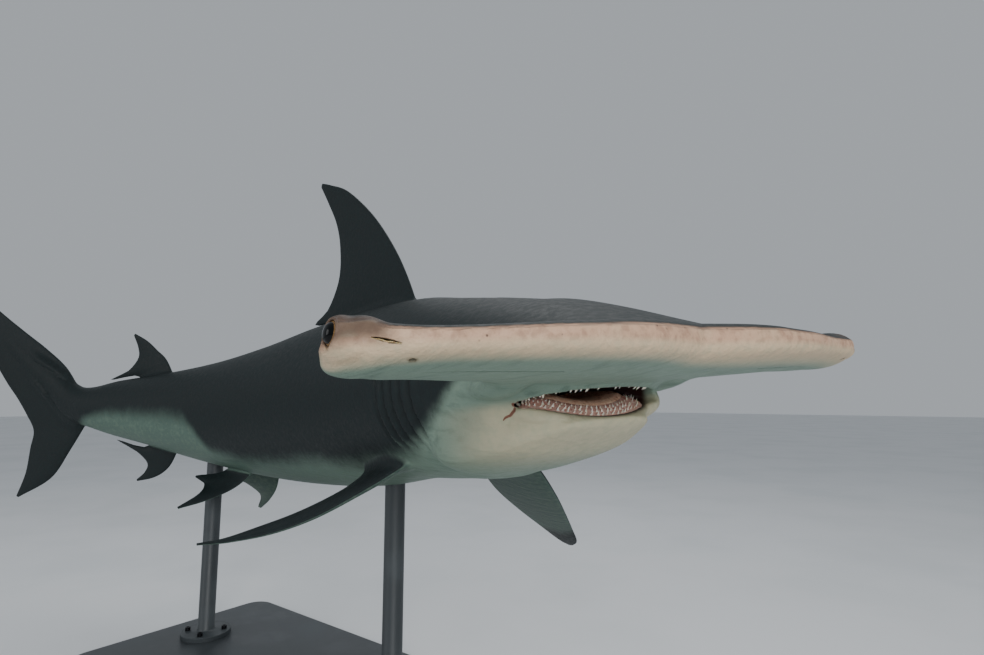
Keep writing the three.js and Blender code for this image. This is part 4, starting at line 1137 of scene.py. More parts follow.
def head_marks(places, up_facing):
    """Where the head has its flushed upper rim, its pale and warm front, and its dusky tips. On the right wing the
    pale and warm front end sooner behind the margin than on the left, so the green of the underside reaches further
    up there: painted shade under the near wing."""
    s, l, u = places.T
    far_out = np.abs(l)
    ahead = behind_margin(places)
    on_head = smoothstep(0.13, 0.11, s)
    rim = smoothstep(-0.0032, -0.0002, u) * smoothstep(26, 10, ahead) * smoothstep(0.75, 0.5, up_facing)
    jaw = smoothstep(0.15, 0.085, s) * smoothstep(-0.014, -0.02, u) * smoothstep(0.052, 0.04, far_out)
    # The chin turns green towards its underside: its own colour together with painted shade under the jaw
    jaw *= lerp(0.2, 1, smoothstep(-0.05, -0.034, u))
    # Painted shade under the near, right wing: its pale and warm front end sooner, so its green underside comes
    # further forward
    right_wing = smoothstep(0.035, -0.02, l)
    pale = smoothstep(lerp(75, 38, right_wing), lerp(24, 3, right_wing), ahead)
    warm = smoothstep(lerp(44, 30, right_wing), lerp(12, 4, right_wing), ahead)
    dusk = smoothstep(0.112, 0.1185, far_out) * smoothstep(-0.0035, 0.0025, u) * smoothstep(30, 12, ahead)
    return {
        "rim": rim * on_head,
        "pale": np.maximum(jaw, pale * on_head),
        "warm": warm * on_head,
        "dusk": dusk * on_head,
    }


def mark_skin(obj, crease_lines):
    places = places_of(points_of(obj.data))
    up_facing = normals_of(obj.data)[:, 2]
    marks = {
        **dark_marks(places, up_facing),
        **head_marks(places, up_facing),
        "slit": gill_offset(places)[1],
        "mouth": mouth_share(places),
        "nostril": nostril_share(places),
        "crease": crease_distance(places, crease_lines[:len(SIDES)]),
    }
    for name, values in marks.items():
        mark(obj.data, name, values)


FAR_OFF = 8.0


def crease_distance(places, lines):
    """How far each place is from the nearest of some creases, in half widths of the crease."""
    nearest = np.full(len(places), FAR_OFF)
    for path, half in lines:
        for point, wide in zip(path, half):
            nearest = np.minimum(nearest, np.linalg.norm(places - point, axis=1) * LENGTH / wide)
    return nearest


def nostril_share(places):
    """1 inside the nostrils and partly in the small pit by each, 0 outside them: where the skin is painted dark
    brown as painted shade in these hollows.
    """
    folded = np.stack([places[:, 0], np.abs(places[:, 1]), places[:, 2]], axis=1)
    nearest = np.full(len(places), 1.0)
    for point in nostril_path(1, 0.0012):
        nearest = np.minimum(nearest, np.linalg.norm((folded - point) * [0.45, 1, 1], axis=1))
    inside = smoothstep(0.0003, 0.0012, places[:, 0] - smooth(HAMMER_FRONT, folded[:, 1]))
    pit = np.linalg.norm((folded - np.array(PIT_PLACE)) * [1, 1, 0.5], axis=1) * LENGTH
    return np.maximum(smoothstep(2.6 * MM, 1.7 * MM, nearest * LENGTH) * inside,
                      smoothstep(5.5 * MM, 3.8 * MM, pit) * PIT_SHADE)


def mouth_share(places):
    """1 inside the mouth, 0 outside it: where the skin is painted near black as painted shade deep in the open
    mouth.
    """
    s, l, u = places.T
    t = np.linspace(0, 1, 200)
    upper = lip_path(UPPER_LIP, t)
    lower = lip_path(LOWER_LIP, t)
    mean = lip_meeting(t)
    turn = np.arctan2(-l, THROAT[0] - s)
    lip_turn = np.arctan2(-mean[:, 1], THROAT[0] - mean[:, 0])
    order = np.argsort(lip_turn)
    edge, high, low = (np.interp(turn, lip_turn[order], values[order]) for values in (
        np.hypot(mean[:, 1], THROAT[0] - mean[:, 0]), upper[:, 2], lower[:, 2]))
    reach = np.hypot(l, THROAT[0] - s) / np.maximum(edge, 1e-6)
    within = smoothstep(1.0, 0.93, reach) * (np.abs(turn) < 1.45) * (s < 0.13)
    return within * smoothstep(low - 0.002, low + 0.0005, u) * smoothstep(high + 0.016, high + 0.0145, u)


def bend(obj):
    """Lay the straight animal along its bent spine."""
    mesh = obj.data
    move_points(mesh, place(*places_of(points_of(mesh)).T))


# Inside the mouth
GUM_HEIGHT = 3.4 * MM
GUM_ROOT = 4 * MM
GUM_SINK = 1.2 * MM
TONGUE_HEIGHT = 7 * MM
TEETH_PER_ROW = 30
TOOTH_RISE = 1.2 * MM
TOOTH_SEED = 11
TOOTH_LEAN = 9
TOOTH_SHIFT = 0.008
MOUTH_INSET = 0.1
MOUTH_ENDS = (0.03, 0.86)
UPPER_ENDS = (0.03, 0.77)


def mouth_flesh(name, spec, rise, reaches, ends, height, side, shape=0.55):
    """A cushion of flesh on the mouth's floor, side 1, or its roof, side -1."""
    reach, t = np.meshgrid(np.linspace(*reaches, 18), np.linspace(*ends, 200), indexing="ij")
    inset = MOUTH_INSET * (1 - opened(t))
    across = (reach - reaches[0]) / (reaches[1] - reaches[0])
    along = (t - ends[0]) / (ends[1] - ends[0])
    edge = np.sin(np.pi * np.clip(across, 0.001, 0.999)) ** shape
    edge = edge * np.minimum(1, np.sin(np.pi * np.clip(along, 0.001, 0.999)) * 3)
    surface = mouth_surface(spec, rise, reach - inset, t)
    top = surface.copy()
    under = surface.copy()
    top[..., 2] += side * (height * edge - GUM_SINK) / LENGTH
    under[..., 2] -= side * GUM_ROOT / LENGTH
    return closed_slab(name, place(*np.moveaxis(top, -1, 0)), place(*np.moveaxis(under, -1, 0)))


def unit(vectors):
    return vectors / np.linalg.norm(vectors, axis=-1)[..., None]


def tooth_rows(name, spec, rise, side, rows, ends):
    """Points for teeth, each with its turn and size. A row is its reach, its lean inwards in degrees and its
    height in millimetres, and the teeth stand in it a little unevenly, as they grow."""
    points = []
    turns = []
    sizes = []
    for number, (reach, lean, tall) in enumerate(rows):
        chance = np.random.default_rng(TOOTH_SEED + number)
        t = np.arange(TEETH_PER_ROW) + 0.5 * (number % 2) + chance.uniform(0.05, 0.45, TEETH_PER_ROW)
        t = lerp(*ends, t / TEETH_PER_ROW)
        reach = reach + chance.uniform(-TOOTH_SHIFT, TOOTH_SHIFT, len(t)) - MOUTH_INSET * (1 - opened(t))
        tilt = np.radians(lean + chance.uniform(-TOOTH_LEAN, TOOTH_LEAN, len(t)))[:, None]
        root = place(*mouth_surface(spec, rise, reach, t).T)
        along = unit(place(*mouth_surface(spec, rise, reach, t + 0.01).T) - root) * side
        inwards = unit(place(*mouth_surface(spec, rise, reach - 0.06, t).T) - root)
        normal = unit(np.cross(along, -inwards))
        normal *= np.sign(normal[:, 2:] * side)
        sideways = chance.uniform(-0.2, 0.2, (len(t), 1))
        axis = unit(normal * np.cos(tilt) + inwards * np.sin(tilt) + along * sideways)
        along = unit(along - axis * (axis * along).sum(axis=1)[:, None])
        for k in range(len(t)):
            basis = Matrix([along[k], np.cross(axis[k], along[k]), axis[k]]).transposed()
            turns.append(basis.to_euler())
            points.append(root[k] + normal[k] * TOOTH_RISE)
            sizes.append(tall * MM * lerp(0.55, 1, math.sin(math.pi * t[k]) ** 0.7))
    return spread_points(name, points, turns, sizes)


def spread_points(name, points, turns, sizes):
    """An object of loose points that carry the turn and the size of what is set on them."""
    obj = new_object(name, points, [])
    turn = obj.data.attributes.new("turn", "FLOAT_VECTOR", "POINT")
    turn.data.foreach_set("vector", np.array([list(one) for one in turns], dtype=float).ravel())
    mark(obj.data, "size", sizes)
    return obj


# A tooth's height, half width and half thickness from its root to its point
TOOTH_SECTIONS = [(-0.3, 0.4, 0.17), (0, 0.43, 0.18), (0.12, 0.38, 0.15), (0.3, 0.25, 0.12), (0.55, 0.17, 0.09),
                  (0.8, 0.09, 0.055), (1, 0.012, 0.01)]


def tooth_pattern():
    """One tooth, a unit tall above its root: a flat blade that leans to one side and hooks inwards."""
    angle = np.linspace(0, 2 * np.pi, 10, endpoint=False)
    rings = []
    for z, half, thick in TOOTH_SECTIONS:
        across = half * np.cos(angle) + 0.14 * z * abs(z)
        inwards = thick * np.sin(angle) + 0.1 * z * z
        rings.append(np.stack([across, inwards, np.full(len(angle), z)], axis=-1))
    return closed_tube("tooth pattern", rings)


def level_ring(middle, radius, height, angle):
    """Points round an upright line, all at one height."""
    across = middle[0] + radius * np.cos(angle)
    along = middle[1] + radius * np.sin(angle)
    return np.stack([across, along, np.full(len(angle), height)], axis=-1)


def screw_pattern():
    """A cap screw with a six-sided socket, standing on z = 0, for a thread 10 mm across."""
    angle = np.linspace(0, 2 * np.pi, 36, endpoint=False)
    socket = 4 / np.cos((angle + np.pi / 6) % (np.pi / 3) - np.pi / 6)
    rings = []
    for z, radius in ((0, 8), (9.2, 8), (10, 7.3), (10, socket + 0.4), (9.6, socket), (5, socket)):
        rings.append(level_ring((0, 0), radius, z, angle) * MM)
    return closed_tube("screw pattern", rings)


# Node trees
ADD = {"operation": "ADD"}
SUBTRACT = {"operation": "SUBTRACT"}
MULTIPLY = {"operation": "MULTIPLY"}
MULTIPLY_ADD = {"operation": "MULTIPLY_ADD"}
SHARED = {"operation": "MULTIPLY", "use_clamp": True}
EASED = {"interpolation_type": "SMOOTHSTEP"}


def add(tree, kind, settings=None, **inputs):
    """Add a node with its settings and inputs. An input is a value, an output to link from, or a node whose
    first output is linked."""
    node = tree.nodes.new(kind)
    for name, value in (settings or {}).items():
        setattr(node, name, value)
    for name, value in inputs.items():
        key = int(name[1:]) if name[0] == "_" else name.replace("_", " ")
        if isinstance(value, bpy.types.Node):
            value = value.outputs[0]
        if isinstance(value, bpy.types.NodeSocket):
            tree.links.new(value, node.inputs[key])
        else:
            node.inputs[key].default_value = value
    return node


def new_group_input(tree, name, kind, value=None):
    """A named input of a group, which a modifier sets by the identifier that comes back."""
    socket = tree.interface.new_socket(name, in_out="INPUT", socket_type=kind)
    if value is not None:
        socket.default_value = value
    return socket.identifier


def copies_tree():
    """Sets one pattern out on points that carry their own turn and size."""
    tree = bpy.data.node_groups.new("copies on points", "GeometryNodeTree")
    tree.interface.new_socket("Geometry", in_out="INPUT", socket_type="NodeSocketGeometry")
    names = {
        "pattern": new_group_input(tree, "Pattern", "NodeSocketObject"),
        "size": new_group_input(tree, "Size", "NodeSocketFloat", 1.0),
        "variation": new_group_input(tree, "Variation", "NodeSocketFloat", 0.0),
        "seed": new_group_input(tree, "Seed", "NodeSocketInt", 1),
        "material": new_group_input(tree, "Material", "NodeSocketMaterial"),
    }
    tree.interface.new_socket("Geometry", in_out="OUTPUT", socket_type="NodeSocketGeometry")
    given = add(tree, "NodeGroupInput").outputs
    own_size = add(tree, "GeometryNodeInputNamedAttribute", {"data_type": "FLOAT"}, Name="size")
    turn = add(tree, "GeometryNodeInputNamedAttribute", {"data_type": "FLOAT_VECTOR"}, Name="turn")
    low = add(tree, "ShaderNodeMath", SUBTRACT, _0=1.0, _1=given["Variation"])
    high = add(tree, "ShaderNodeMath", ADD, _0=1.0, _1=given["Variation"])
    chance = add(tree, "FunctionNodeRandomValue", {"data_type": "FLOAT"}, _2=low, _3=high, Seed=given["Seed"])
    sized = add(tree, "ShaderNodeMath", MULTIPLY, _0=own_size.outputs["Attribute"], _1=given["Size"])
    scale = add(tree, "ShaderNodeMath", MULTIPLY, _0=sized, _1=chance.outputs[1])
    pattern = add(tree, "GeometryNodeObjectInfo", Object=given["Pattern"]).outputs["Geometry"]
    rotation = add(tree, "FunctionNodeEulerToRotation", Euler=turn.outputs["Attribute"])
    set_out = add(tree, "GeometryNodeInstanceOnPoints", Points=given["Geometry"], Instance=pattern,
                  Rotation=rotation, Scale=scale)
    real = add(tree, "GeometryNodeRealizeInstances", Geometry=set_out)
    painted = add(tree, "GeometryNodeSetMaterial", Geometry=real, Material=given["Material"])
    add(tree, "NodeGroupOutput", Geometry=painted)
    return tree, names


COPIES = copies_tree()


def set_copies(points, pattern, material, size=1.0, variation=0.0, seed=1):
    """Turn an object of points into a plain mesh of copies of a pattern."""
    tree, names = COPIES
    change = points.modifiers.new("copies", "NODES")
    change.node_group = tree
    for key, value in (("pattern", pattern), ("size", size), ("variation", variation), ("seed", seed),
                       ("material", material)):
        change[names[key]] = value
    settle(points)
    shade_smooth(points, 40)
    return points


def shade_smooth(obj, sharp_over):
    """Smooth shading, but for edges sharper than an angle in degrees."""
    obj.data.polygons.foreach_set("use_smooth", [True] * len(obj.data.polygons))
    obj.data.set_sharp_from_angle(angle=math.radians(sharp_over))


# Eyes
# Degrees from the middle of the pupil to its edge and to the iris's
PUPIL_EDGE = 39
IRIS_EDGE = 50
CORNEA_BULGE = 1.8 * MM


def eyeball(name, side):
    """A ball whose points carry how far they lie from the pupil's middle, and where round it."""
    centre, out, back, up = eye_frame(side)
    from_axis = np.concatenate([np.linspace(0.5, 60, 44), np.linspace(65, 179.5, 20)])
    around = np.linspace(0, 2 * np.pi, 96, endpoint=False)
    tilt = np.radians(from_axis)[:, None]
    radius = EYE_RADIUS + CORNEA_BULGE * smoothstep(46, 20, from_axis)[:, None]
    spoke = back * np.cos(around)[:, None] + up * np.sin(around)[:, None]
    forward = (radius * np.cos(tilt))[..., None] * out
    aside = (radius * np.sin(tilt))[..., None] * spoke[None]
    rings = centre + forward + aside
    obj = closed_tube(name, rings)
    mark(obj.data, "from_axis", np.concatenate([np.repeat(from_axis, len(around)), [0, 180]]))
    streak = np.stack([np.cos(around), np.sin(around)], axis=-1)
    layer = obj.data.attributes.new("around", "FLOAT_VECTOR", "POINT")
    turned = np.zeros((len(obj.data.vertices), 3))
    turned[:len(from_axis) * len(around), :2] = np.tile(streak, (len(from_axis), 1))
    layer.data.foreach_set("vector", turned.ravel())
    bend(obj)
    shade_smooth(obj, 60)
    return obj


# Stand
FOOT_SCREWS = 4
SCREW_CIRCLE = 0.056


def turned_form(name, middle, profile, sides=96):
    """A form turned about an upright line, from steps of height and radius."""
    angle = np.linspace(0, 2 * np.pi, sides, endpoint=False)
    obj = closed_tube(name, [level_ring(middle, radius, height, angle) for height, radius in profile])
    shade_smooth(obj, 35)
    return obj


def stand_rod(name, node):
    """A rod with its welded foot; its top ends inside the skin."""
    low, high = (np.array(corner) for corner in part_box(node))
    middle = (low + high) / 2
    floor_height = low[2]
    foot = floor_height + ROD["foot_thick"]
    weld = 6 * MM
    edge = 2 * MM
    profile = [(floor_height, ROD["foot"]), (foot - edge, ROD["foot"]), (foot, ROD["foot"] - edge),
               (foot, ROD["radius"] + weld), (foot + weld * 0.4, ROD["radius"] + weld * 0.4),
               (foot + weld, ROD["radius"]), (high[2], ROD["radius"])]
    return turned_form(name, middle, profile), middle, foot


def stand_base(name):
    """A flat plate with round corners and a broken edge all round."""
    low, high = (np.array(corner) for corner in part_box("stand_base"))
    middle = (low + high) / 2
    half = (high - low) / 2
    quarter = np.linspace(0, np.pi / 2, 16)
    edge = BASE["edge"]
    steps = [(low[2], edge / 2), (low[2] + edge / 2, 0), (high[2] - edge, 0),
             (high[2] - edge * 0.3, edge * 0.3), (high[2], edge)]
    rings = []
    for height, inset in steps:
        ring = []
        for turn, (x, y) in enumerate([(1, 1), (-1, 1), (-1, -1), (1, -1)]):
            corner = (middle[0] + x * (half[0] - BASE["corner"]), middle[1] + y * (half[1] - BASE["corner"]))
            ring += list(level_ring(corner, BASE["corner"] - inset, height, quarter + turn * np.pi / 2))
        rings.append(ring)
    obj = closed_tube(name, rings)
    shade_smooth(obj, 35)
    return obj


def screw_points(name, feet):
    """Where the screws stand, in a circle on each foot."""
    points = []
    for middle, height in feet:
        for k in range(FOOT_SCREWS):
            angle = (k + 0.5) * 2 * math.pi / FOOT_SCREWS
            across = middle[0] + SCREW_CIRCLE * math.cos(angle)
            along = middle[1] + SCREW_CIRCLE * math.sin(angle)
            points.append((across, along, height))
    turns = [(0, 0, 0.4 * k) for k in range(len(points))]
    return spread_points(name, points, turns, [1.0] * len(points))


# Materials
def linear(hexadecimal):
    """A colour written as sRGB hex, as the linear numbers that a shader takes."""
    parts = [int(hexadecimal[i:i + 2], 16) / 255 for i in (1, 3, 5)]
    return [part / 12.92 if part <= 0.04045 else ((part + 0.055) / 1.055) ** 2.4 for part in parts] + [1]


def new_material(name, **values):
    """A material, its tree, its shader and the place on the piece that patterns are laid out from."""
    material = bpy.data.materials.new(name)
    material.use_nodes = True
    tree = material.node_tree
    shader = tree.nodes["Principled BSDF"]
    for socket, value in values.items():
        shader.inputs[socket.replace("_", " ")].default_value = value
    return material, tree, shader, add(tree, "ShaderNodeTexCoord").outputs["Object"]


def coloured(tree, first, layers):
    """A colour with others laid over it in turn, each by its share of the surface and at its own strength."""
    colour = linear(first)
    for hexadecimal, share, strength in layers:
        if strength < 1:
            share = add(tree, "ShaderNodeMath", SHARED, _0=share, _1=strength)
        mixed = add(tree, "ShaderNodeMix", {"data_type": "RGBA"}, _0=share, _6=colour, _7=linear(hexadecimal))
        colour = mixed.outputs[2]
    return colour


def dress(tree, shader, colour, roughness=None, bumps=()):
    """Give a shader its colour, its roughness and its bumps, which lie over each other. A bump is a pattern of
    heights and its height in metres."""
    tree.links.new(colour, shader.inputs["Base Color"])
    if roughness:
        tree.links.new(roughness.outputs[0], shader.inputs["Roughness"])
    below = {}
    for pattern, height in bumps:
        below = {"Normal": add(tree, "ShaderNodeBump", Height=pattern, Distance=height, Strength=1.0, **below)}
    if below:
        tree.links.new(below["Normal"].outputs[0], shader.inputs["Normal"])


# How cloudy noise breaks up, for wide clouds and for fine grain
CLOUDS = {"Detail": 3.0, "Roughness": 0.55}
GRAIN = {"Detail": 2.0, "Roughness": 0.55}
SKIN_MARKS = ("back", "fin", "rear", "rim", "pale", "warm", "dusk", "slit", "mouth", "nostril", "crease")


def shark_skin():
    """Hide of dermal denticles, 0.5 mm across: a dull satin that lights up only at grazing angles. Its grain is
    drawn at 2.4 mm so that it shows."""
    material, tree, shader, where = new_material("denticle hide", IOR=1.34)
    share = {name: add(tree, "ShaderNodeAttribute", {"attribute_name": name}).outputs["Fac"] for name in SKIN_MARKS}
    drawn_out = add(tree, "ShaderNodeMapping", Vector=where, Scale=(0.16, 1.0, 1.0))
    for name, start, size, detail in (
            ("patches", where, 0.06, CLOUDS),
            ("mottle", where, 0.012, CLOUDS),
            ("grain", where, 0.0024, GRAIN),
            ("folds", drawn_out, 0.014, CLOUDS)):
        share[name] = add(tree, "ShaderNodeTexNoise", Vector=start, Scale=1 / size, **detail)
    share["cells"] = add(tree, "ShaderNodeTexVoronoi", Vector=where, Scale=1 / 0.009, Randomness=1.0)
    uneven = add(tree, "ShaderNodeMath", MULTIPLY_ADD, _0=share["patches"], _1=0.3, _2=-0.15)
    share["uneven back"] = add(tree, "ShaderNodeMath", ADD, _0=share["back"], _1=uneven)
    # Shares that ease in between two values of another one
    for name, source, low, high in (
            ("dark", "uneven back", 0.2, 0.8),
            ("light", "uneven back", 0.75, 0.45),
            ("spots", "mottle", 0.42, 0.66),
            ("creased", "folds", 0.5, 0.72),
            ("pore middles", "cells", 0.2, 0.09),
            ("pored", "patches", 0.5, 0.62),
            ("lip furrow", "crease", 1.7, 1.05)):
        share[name] = add(tree, "ShaderNodeMapRange", EASED, Value=share[source], From_Min=low, From_Max=high)
    share["flush"] = add(tree, "ShaderNodeMapRange", EASED, Value=share["patches"], From_Min=0.3, From_Max=0.55,
                         To_Min=0.55)
    # Shares that need two others at once
    for name, first, second in (
            ("front", "pale", "light"),
            ("flushed rim", "rim", "flush"),
            ("dark spots", "dark", "spots"),
            ("rim spots", "flushed rim", "spots"),
            ("pore patches", "pore middles", "pored"),
            ("pores", "pore patches", "rim")):
        share[name] = add(tree, "ShaderNodeMath", SHARED, _0=share[first], _1=share[second])
    colour = coloured(tree, "#74887a", [
        ("#4f655b", share["rear"], 1),
        ("#566b60", share["creased"], 0.6),
        ("#42554d", share["fin"], 1),
        # pale and warm front of the head; on the right wing and under the chin they give way sooner to green as
        # painted shade
        ("#b2ab90", share["front"], 1),
        ("#c9ab8c", share["warm"], 0.65),
        ("#849481", share["spots"], 0.2),
        # dark back, which on the neck behind the hammer is also painted shadow of the hammer
        ("#0a1516", share["dark"], 1),
        ("#142223", share["dark spots"], 0.5),
        ("#b9957c", share["flushed rim"], 0.9),
        ("#8d6c59", share["rim spots"], 0.55),
        ("#4a3a31", share["dusk"], 0.85),
        ("#33261f", share["pores"], 0.8),
        # painted shade: the mouth's lining is painted near black, as the shade deep in the open mouth
        ("#2c1512", share["mouth"], 1),
        # painted shade: the gill slits are painted near black, as the shade inside them
        ("#0c1313", share["slit"], 0.9),
        # painted shade: the nostrils and their pits are painted dark brown, as the shade inside them
        ("#3b2c1a", share["nostril"], 1),
        ("#7d4a3c", share["lip furrow"], 0.9),
    ])
    roughness = add(tree, "ShaderNodeMapRange", EASED, Value=share["mottle"], From_Min=0.3, From_Max=0.7,
                    To_Min=0.48, To_Max=0.6)
    bright = add(tree, "ShaderNodeMath", SUBTRACT, _0=1.0, _1=share["dark"])
    bright_folds = add(tree, "ShaderNodeMath", SHARED, _0=share["folds"], _1=bright)
    dress(tree, shader, colour, roughness, [
        (bright_folds, 0.003), (share["mottle"], 0.0007), (share["grain"], 0.0003)])
    return material


def wet_flesh(name, deep, pink, pale):
    """Gum or tongue in clear resin: wet mucosa, its fine creases filled by a glossy film."""
    material, tree, shader, where = new_material(
        name, IOR=1.4, Coat_Weight=0.5, Coat_Roughness=0.12, Subsurface_Weight=0.12, Subsurface_Scale=0.004,
        Subsurface_Radius=(1, 0.35, 0.25))
    creases = add(tree, "ShaderNodeTexNoise", Vector=where, Scale=1 / 0.006, **CLOUDS)
    grain = add(tree, "ShaderNodeTexNoise", Vector=where, Scale=1 / 0.002, **GRAIN)
    ridges = add(tree, "ShaderNodeMapRange", EASED, Value=creases, From_Min=0.5, From_Max=0.72)
    dips = add(tree, "ShaderNodeMapRange", EASED, Value=creases, From_Min=0.45, From_Max=0.3)
    film = add(tree, "ShaderNodeMapRange", EASED, Value=creases, From_Min=0.3, From_Max=0.7, To_Min=0.42,
               To_Max=0.3)
    colour = coloured(tree, pink, [(pale, ridges, 1), (deep, dips, 1)])
    dress(tree, shader, colour, film, [(creases, 0.0014), (grain, 0.0004)])
    return material


def tooth_enamel():
    """Enameloid over dentine: milky ivory, polished by use, a little yellower in places."""
    material, tree, shader, where = new_material(
        "shark tooth enameloid", IOR=1.62, Roughness=0.22, Subsurface_Weight=0.15, Subsurface_Scale=0.002)
    clouds = add(tree, "ShaderNodeTexNoise", Vector=where, Scale=1 / 0.004, **CLOUDS)
    stain = add(tree, "ShaderNodeMapRange", EASED, Value=clouds, From_Min=0.5, From_Max=0.75)
    dress(tree, shader, coloured(tree, "#ece6d6", [("#cfc2a4", stain, 1)]), bumps=[(clouds, 0.0002)])
    return material


def eye_glaze():
    """Blown glass eye with a painted back: a deep black pupil, an amber iris and a clear hard gloss."""
    material, tree, shader, where = new_material("glass eye", IOR=1.36, Roughness=0.05, Specular_IOR_Level=0.35)
    angle = add(tree, "ShaderNodeAttribute", {"attribute_name": "from_axis"}).outputs["Fac"]
    around = add(tree, "ShaderNodeAttribute", {"attribute_name": "around"}).outputs["Vector"]
    streaks = add(tree, "ShaderNodeTexNoise", Vector=around, Scale=9.0, Detail=4.0, Roughness=0.7)
    ragged = add(tree, "ShaderNodeMath", MULTIPLY_ADD, _0=streaks, _1=5.0, _2=-2.5)
    edge = add(tree, "ShaderNodeMath", ADD, _0=angle, _1=ragged)
    iris, amber, ring, rim, lit = (
        add(tree, "ShaderNodeMapRange", EASED, Value=value, From_Min=low, From_Max=high)
        for value, low, high in (
            (edge, PUPIL_EDGE - 1, PUPIL_EDGE + 1), (edge, PUPIL_EDGE, PUPIL_EDGE + 4),
            (edge, IRIS_EDGE - 6, IRIS_EDGE - 2), (edge, IRIS_EDGE - 2, IRIS_EDGE + 1), (streaks, 0.45, 0.65)))
    amber_streaks = add(tree, "ShaderNodeMath", SHARED, _0=amber, _1=lit)
    colour = coloured(tree, "#020304", [
        ("#6b4f30", iris, 1), ("#a3875a", amber_streaks, 1), ("#4a2a16", ring, 1), ("#17110e", rim, 1)])
    ripple = add(tree, "ShaderNodeTexNoise", Vector=where, Scale=1 / 0.01, **CLOUDS)
    dress(tree, shader, colour, bumps=[(ripple, 0.00004)])
    return material


def powder_coat():
    """Satin powder coat baked on mild steel: charcoal, with a faint orange peel of 1.5 mm, drawn at 3 mm so that
    it shows."""
    material, tree, shader, where = new_material("powder coated steel", IOR=1.5)
    peel = add(tree, "ShaderNodeTexNoise", Vector=where, Scale=1 / 0.003, Detail=1.0, Roughness=0.55)
    dust = add(tree, "ShaderNodeTexNoise", Vector=where, Scale=1 / 0.15, Detail=4.0, Roughness=0.55)
    dusty = add(tree, "ShaderNodeMapRange", EASED, Value=dust, From_Min=0.45, From_Max=0.7)
    satin = add(tree, "ShaderNodeMapRange", EASED, Value=dust, From_Min=0.3, From_Max=0.7, To_Min=0.38, To_Max=0.5)
    dress(tree, shader, coloured(tree, "#34393c", [("#3f4548", dusty, 1)]), satin, [(peel, 0.0002)])
    return material


def black_oxide():
    """Cap screws of black oxide steel: a dark metal with a thin oiled sheen and fine turning marks."""
    material, tree, shader, where = new_material("black oxide steel", Metallic=1.0)
    turned = add(tree, "ShaderNodeMapping", Vector=where, Scale=(1.0, 1.0, 6.0))
    marks = add(tree, "ShaderNodeTexNoise", Vector=turned, Scale=1 / 0.0015, **GRAIN)
    bright = add(tree, "ShaderNodeMapRange", EASED, Value=marks, From_Min=0.4, From_Max=0.7)
    oiled = add(tree, "ShaderNodeMapRange", EASED, Value=marks, From_Min=0.3, From_Max=0.7, To_Min=0.28,
                To_Max=0.42)
    dress(tree, shader, coloured(tree, "#26272a", [("#3b3c40", bright, 1)]), oiled, [(marks, 0.00005)])
    return material


def seamless_floor():
    """Pale sealed screed of a studio: matt, with only faint clouds."""
    material, tree, shader, where = new_material("pale screed", Roughness=0.7)
    clouds = add(tree, "ShaderNodeTexNoise", Vector=where, Scale=1 / 0.8, **CLOUDS)
    cloudy = add(tree, "ShaderNodeMapRange", EASED, Value=clouds, From_Min=0.4, From_Max=0.7)
    dress(tree, shader, coloured(tree, "#dcdee0", [("#d5d8da", cloudy, 1)]))
    return material


# The animal's skin
body = grown_body()
sink_gills(body)
crease_lines = cut_creases(body)
cut_eyes(body)
cut_nostrils(body)
add_fins(body)
soften_tail(body)
mark_skin(body, crease_lines)
bend(body)
shade_smooth(body, 72)
body.data.materials.clear()
body.data.materials.append(shark_skin())
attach(body, "root")
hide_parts("head", "lower_jaw", "neck", "torso", "hind_body", "tail_stalk", "caudal_fin", "first_dorsal_fin",
            "second_dorsal_fin", "anal_fin", "pectoral_fin_right", "pectoral_fin_left", "pelvic_fin_right",
            "pelvic_fin_left")

# Gums, tongue and teeth
gum = wet_flesh("gum in resin", "#bd7366", "#dcab9c", "#eed3c7")
tongue_flesh = wet_flesh("tongue in resin", "#9a7460", "#cfa88e", "#e0c5ab")
flesh = [
    (mouth_flesh("lower_gum", LOWER_LIP, FLOOR_RISE, (0.79, 1.02), MOUTH_ENDS, GUM_HEIGHT, 1), gum),
    (mouth_flesh("upper_gum", UPPER_LIP, ROOF_RISE, (0.86, 1.0), UPPER_ENDS, GUM_HEIGHT, -1), gum),
    (mouth_flesh("tongue", LOWER_LIP, FLOOR_RISE, (0.08, 0.8), MOUTH_ENDS, TONGUE_HEIGHT, 1, 0.3), tongue_flesh),
]
for obj, material in flesh:
    obj.data.materials.append(material)
    shade_smooth(obj, 60)
    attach(obj, "root")
tooth = tooth_pattern()
enamel = tooth_enamel()
LOWER_ROWS = [(0.94, 4, 6.2), (0.895, 24, 5.4), (0.85, 44, 4.6)]
UPPER_ROWS = [(0.975, 2, 10), (0.92, 26, 8)]
for name, spec, rise, side, rows, ends, seed in (
        ("lower_teeth", LOWER_LIP, FLOOR_RISE, 1, LOWER_ROWS, MOUTH_ENDS, 5),
        ("upper_teeth", UPPER_LIP, ROOF_RISE, -1, UPPER_ROWS, UPPER_ENDS, 8)):
    teeth = set_copies(tooth_rows(name, spec, rise, side, rows, ends), tooth, enamel, 1.0, 0.22, seed)
    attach(teeth, "root")
bpy.data.objects.remove(tooth)

nasal = wet_flesh("nasal flap in resin", "#7a6644", "#ab9468", "#c8b68e")
for name, side in SIDES:
    flap = closed_tube("nasal_flap_" + name, place(*np.moveaxis(nasal_flap(side), -1, 0)))
    flap.data.materials.append(nasal)
    shade_smooth(flap, 60)
    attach(flap, "root")

# Eyes
glaze = eye_glaze()
for name, side in SIDES:
    eye = eyeball("eyeball_" + name, side)
    eye.data.materials.append(glaze)
    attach(eye, "root")
    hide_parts("eye_" + name)

# Stand
coat = powder_coat()
feet = []
for name in ROD_PLACES:
    rod, middle, height = stand_rod("rod_" + name, "stand_rod_" + name)
    rod.data.materials.append(coat)
    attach(rod, "root")
    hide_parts("stand_rod_" + name)
    feet.append((middle, height))
base = stand_base("base_plate")
base.data.materials.append(coat)
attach(base, "root")
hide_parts("stand_base")
screw = screw_pattern()
screws = set_copies(screw_points("foot_screws", feet), screw, black_oxide())
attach(screws, "root")
bpy.data.objects.remove(screw)


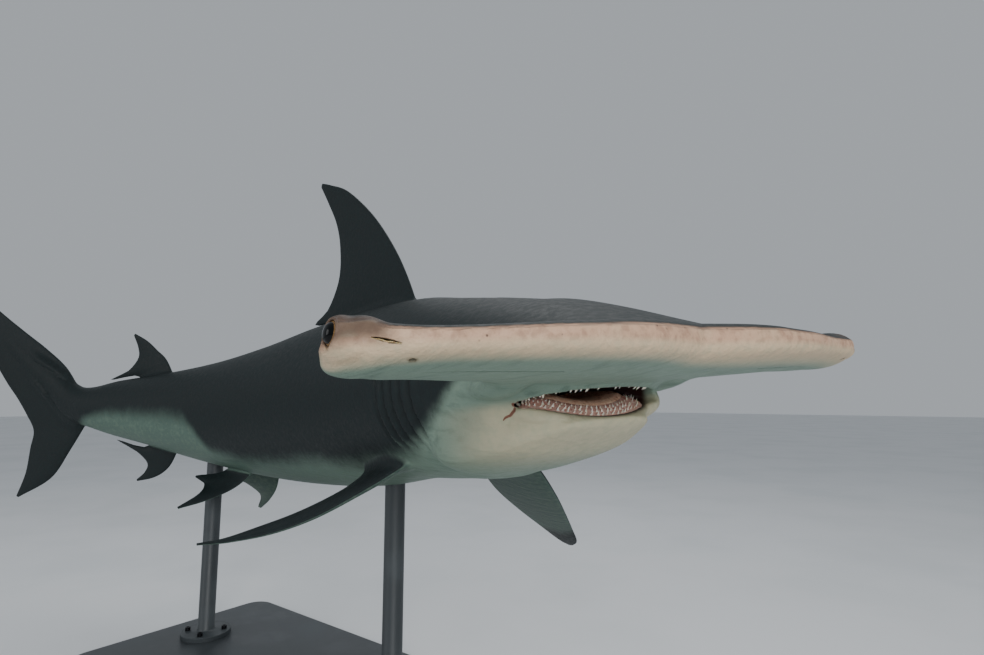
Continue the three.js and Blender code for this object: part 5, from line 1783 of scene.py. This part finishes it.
# Room, light and camera
floor = new_object("floor", [(-30, -30, 0), (30, -30, 0), (30, 30, 0), (-30, 30, 0)], [(0, 1, 2, 3)])
floor.data.materials.append(seamless_floor())


def area_light(name, location, target, size, power, colour="#ffffff"):
    light = bpy.data.lights.new(name, "AREA")
    light.shape = "RECTANGLE"
    light.size = size[0]
    light.size_y = size[1]
    light.energy = power
    light.color = linear(colour)[:3]
    obj = bpy.data.objects.new(name, light)
    obj.location = location
    obj.rotation_euler = (Vector(target) - Vector(location)).to_track_quat("-Z", "Y").to_euler()
    bpy.context.scene.collection.objects.link(obj)


area_light("key light", (3.2, -2.2, 1.9), (0.7, 0, 0.75), (1.6, 1.6), 90)
area_light("fill light", (-1.6, -4.2, 1.8), (-0.4, 0, 0.8), (3, 2), 40)
area_light("top light", (0, 1.2, 4.2), (0, 0, 0.8), (4, 3), 60)
world = bpy.data.worlds.new("studio")
bpy.context.scene.world = world
world.use_nodes = True
world.node_tree.nodes["Background"].inputs["Color"].default_value = linear("#c6ccd2")
world.node_tree.nodes["Background"].inputs["Strength"].default_value = 0.7

# Camera: it stands ahead of and to the animal's right, and looks up by 7 degrees
CAMERA_FROM_HELD = (1.47, -1.08, 0.024)
VIEW_AZIMUTH = 37
VIEW_RISE = 7
FOCAL_PIXELS = 575
FRAME_WIDTH = 984
camera_data = bpy.data.cameras.new("camera")
camera_data.sensor_fit = "HORIZONTAL"
camera_data.sensor_width = 36
camera_data.lens = 36 * FOCAL_PIXELS / FRAME_WIDTH
camera_data.clip_start = 0.02
camera = bpy.data.objects.new("camera", camera_data)
bpy.context.scene.collection.objects.link(camera)
camera.location = Vector((*BODY_OFFSET, RIDE_HEIGHT)) + Vector(CAMERA_FROM_HELD)
turn = math.radians(VIEW_AZIMUTH)
rise = math.radians(VIEW_RISE)
view = Vector((-math.sin(turn) * math.cos(rise), math.cos(turn) * math.cos(rise), math.sin(rise)))
camera.rotation_euler = view.to_track_quat("-Z", "Y").to_euler()
bpy.context.scene.camera = camera
